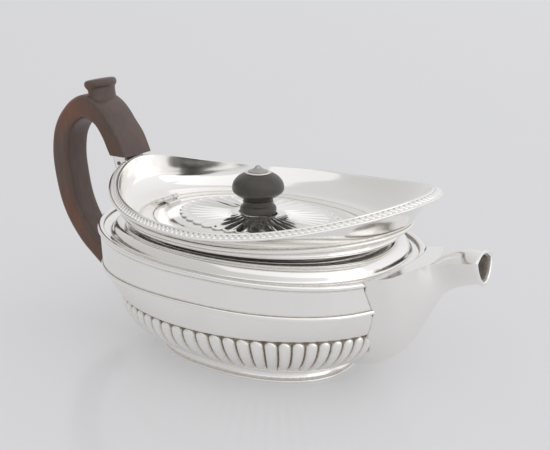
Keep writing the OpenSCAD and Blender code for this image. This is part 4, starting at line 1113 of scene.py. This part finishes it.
def flute_tree():
    """Hollows the flutes: sharp ridges between them, and each one spooned out at its end."""
    def make(tree, start):
        calc = partial(maths, tree)
        reach = named(tree, "flute_reach")
        side = off_middle(calc, named(tree, "flute_turn"))
        hollow = calc("SUBTRACT", 1.0, calc("POWER", side, 2.2))
        past = calc("POWER", share_past(calc, reach, start["Spoon from"]), 2.0)
        spoon = calc("MAXIMUM", calc("SUBTRACT", hollow, past), 0.0)
        fade = add_node(tree, "ShaderNodeMapRange", {"interpolation_type": "SMOOTHSTEP"},
                        {"Value": reach, "From Min": 0.0, "From Max": 0.32})
        cut = calc("MULTIPLY", calc("MULTIPLY", spoon, fade.outputs[0]), start["Depth"])
        drop = calc("MULTIPLY", calc("MULTIPLY", cut, named(tree, "flute_on")), -1.0)
        offset = add_node(tree, "ShaderNodeCombineXYZ", inputs={2: drop}).outputs[0]
        return moved(tree, start["Geometry"], offset)
    return shape_tree("flute_tree", {"Depth": 0.001, "Spoon from": 0.85}, make)


def make_patera():
    around = FLUTES * POINTS_PER_FLUTE
    angles = turns(around)
    turn = angles / (2 * np.pi) * FLUTES
    ridge = np.abs(2 * (turn % 1) - 1)
    scallop = 2.7 * ridge ** 2.4
    top_z = DOME_Z + PATERA_HEIGHT
    first, last = 0.985, 0.24
    rings, reaches, on = [], [], []

    def ring(share, z, reach, live, inset=0.0):
        length, width = PATERA_HALF
        spots = oval_points(oval(length * share, width * share, PATERA_ROUND, 0), angles)
        size = np.linalg.norm(spots[:, :2], axis=1)
        spots[:, :2] *= (1 - (scallop * share ** 6 + inset) / size)[:, None]
        spots[:, 2] = z
        rings.append(spots)
        reaches.append(np.full(around, reach))
        on.append(np.full(around, live))

    ring(1, DOME_Z - 0.3, 1, 0)
    ring(1, top_z - 0.55, 1, 0)
    ring(1, top_z - 0.3, 1, 0, 0.12)
    ring(1, top_z - 0.2, 1, 0, 0.35)
    for share in np.linspace(first, last, 30):
        reach = (share - last) / (first - last)
        ring(share, top_z - 0.2 + 1.0 * (1 - reach) ** 1.7, reach, 1)
    ring(0.235, top_z - 0.6, 0, 0)
    ring(0.2, DOME_Z - 0.3, 0, 0)
    values = {"flute_turn": np.tile(turn, len(rings)), "flute_reach": np.array(reaches).ravel(),
              "flute_on": np.array(on).ravel()}
    darkening = np.zeros(len(rings))
    # Painted shadow on the outer wall under the scalloped edge; the three rings round the middle
    # are darkened too
    darkening[:3] = [0.9, 0.6, 0.1]
    darkening[-3:] = [0.5, 0.8, 0.8]
    values["tarnish"] = np.repeat(darkening, around)
    mesh = new_mesh("patera_base", rings, grid_faces(len(rings), around, True), values)
    numbers = {"Depth": 1.05 * MM, "Spoon from": 0.84}
    patera = baked("fluted_patera", add_object("patera_base", mesh), flute_tree(), numbers,
                   BRIGHT, sharp=50)
    belongs(patera, "lid", "bright_silver", "patera")


COLLAR_Z = 72.9
KNOB_Z = 73.7
WASHER_Z = 94.0
FINIAL_Z = 94.8


def turned_outline(radius, side, steps, height):
    """A flat foot of this radius, a smooth side and a flat top."""
    return [(0, 0), (radius, 0), *map(tuple, smooth_rows(side, steps)), (0, height)]


def make_knob():
    knob = turned_outline(8.2, [
        (8.7, 0.02), (9.2, 0.7), (9.3, 1.7), (9.15, 2.7), (8.55, 3.6), (7.95, 4.3), (7.7, 4.9),
        (7.72, 5.5), (7.62, 6.3), (7.12, 6.9), (7.1, 7.3), (8.05, 7.65), (10.2, 8.95),
        (12.6, 10.8), (13.2, 12.9), (12.5, 15.7), (10.5, 18.2), (8.05, 19.75), (6.7, 20.28)],
        5, WASHER_Z - KNOB_Z)
    collar = [(0, 0), (8.4, 0), (8.6, 0.2), (8.6, 0.6), (8.4, 0.8), (0, 0.8)]
    washer = turned_outline(6.4, [(6.7, 0.1), (6.8, 0.32), (6.68, 0.55), (6.4, 0.66), (6.1, 0.72),
                                  (5.8, 0.8)], 4, 0.8)
    finial = turned_outline(4.9, [
        (5.1, 0.12), (5.05, 0.36), (4.3, 0.62), (3.2, 1.05), (2.2, 1.6), (1.6, 2.1), (1.35, 2.5),
        (1.0, 2.85), (0.4, 3.06)], 5, 3.1)
    for name, outline, z, material, sharp, slot, node in (
            ("turned_knob", knob, KNOB_Z, KNOB_WOOD, 50, "wood", "knob"),
            ("knob_plate", collar, COLLAR_Z, BRIGHT, 38, "bright_silver", "knob_collar"),
            ("knob_disc", washer, WASHER_Z, FITTINGS, 38, "silver", "knob_washer"),
            ("knob_finial", finial, FINIAL_Z, DARK_REFLECTION_SILVER, 38, "silver", "finial_nut")):
        belongs(turned_piece(name, outline, z, material, sharp), "lid", slot, node)


for make in (make_foot, make_bowl, make_lower_wire, make_frieze, make_upper_wire, make_shoulder,
             make_throat, make_cape, make_moulding, make_border, make_spout, make_handle,
             make_sockets, make_lid, make_patera, make_knob):
    make()

KEPT_NODES = {"base_plate": SILVER, "hinge_knuckles": FITTINGS, "hinge_pin": FITTINGS,
              "lid_knuckle": FITTINGS, "knob_bolt": FITTINGS, "bolt_washer": FITTINGS,
              "upper_pin": DARK_PINS, "lower_pin": DARK_PINS}
for name, material in KEPT_NODES.items():
    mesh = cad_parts[name].data
    mesh.materials.clear()
    mesh.materials.append(material)


# ---- Floor and light ----

def make_floor():
    material, tree, shader = new_material("pale_gloss_board")
    feed(tree, shader, {"Base Color": (0.76, 0.76, 0.775, 1), "Roughness": 0.16,
                        "Specular IOR Level": 0.65})
    # Part of the board's own tone shows however deep the shadow, to the eye and in the metal
    path = add_node(tree, "ShaderNodeLightPath").outputs
    seen = maths(tree, "MAXIMUM", path["Is Camera Ray"], path["Is Glossy Ray"])
    seen = maths(tree, "MAXIMUM", seen, path["Is Transmission Ray"])
    glow = add_node(tree, "ShaderNodeEmission", inputs={"Color": (0.7, 0.7, 0.712, 1),
                                                        "Strength": 1.0}).outputs[0]
    both = add_node(tree, "ShaderNodeMixShader", inputs={0: maths(tree, "MULTIPLY", seen, 0.42),
                                                         1: shader.outputs[0], 2: glow})
    feed(tree, tree.nodes["Material Output"], {"Surface": both.outputs[0]})
    mesh = bpy.data.meshes.new("floor")
    mesh.from_pydata([(-4, -4, 0), (4, -4, 0), (4, 4, 0), (-4, 4, 0)], [], [(0, 1, 2, 3)])
    floor = add_object("floor", mesh, material)


def make_world():
    world = bpy.data.worlds.new("studio")
    world.use_nodes = True
    tree = world.node_tree
    shade = tree.nodes["Background"]
    spot = add_node(tree, "ShaderNodeTexCoord").outputs["Generated"]
    toward = add_node(tree, "ShaderNodeVectorMath", {"operation": "DOT_PRODUCT"},
                      {0: spot, 1: (0.83, 0.5, -0.1)}).outputs["Value"]
    lit = colour_ramp(tree, maths(tree, "MULTIPLY_ADD", toward, 0.5, 0.5),
                      [(0.0, (0.57, 0.56, 0.55)), (0.3, (0.7, 0.7, 0.705)),
                       (0.6, (0.82, 0.82, 0.83)), (1.0, (0.97, 0.97, 0.98))])
    feed(tree, shade, {"Color": lit})
    bpy.context.scene.world = world


def add_lamp(name, place, target, size, power):
    data = bpy.data.lights.new(name, "AREA")
    data.shape = "RECTANGLE"
    data.size, data.size_y = size
    data.energy = power
    aim(bpy.data.objects.new(name, data), place, target)


make_floor()
make_world()
add_lamp("overhead_softbox", (0.2, -0.75, 1.25), (0.05, -0.35, 0), (2.3, 1.8), 3.3)
add_lamp("side_softbox", (1.2, -0.1, 0.65), (0, 0, 0.05), (1.1, 1.1), 1.5)
bpy.context.scene.view_settings.view_transform = "Standard"
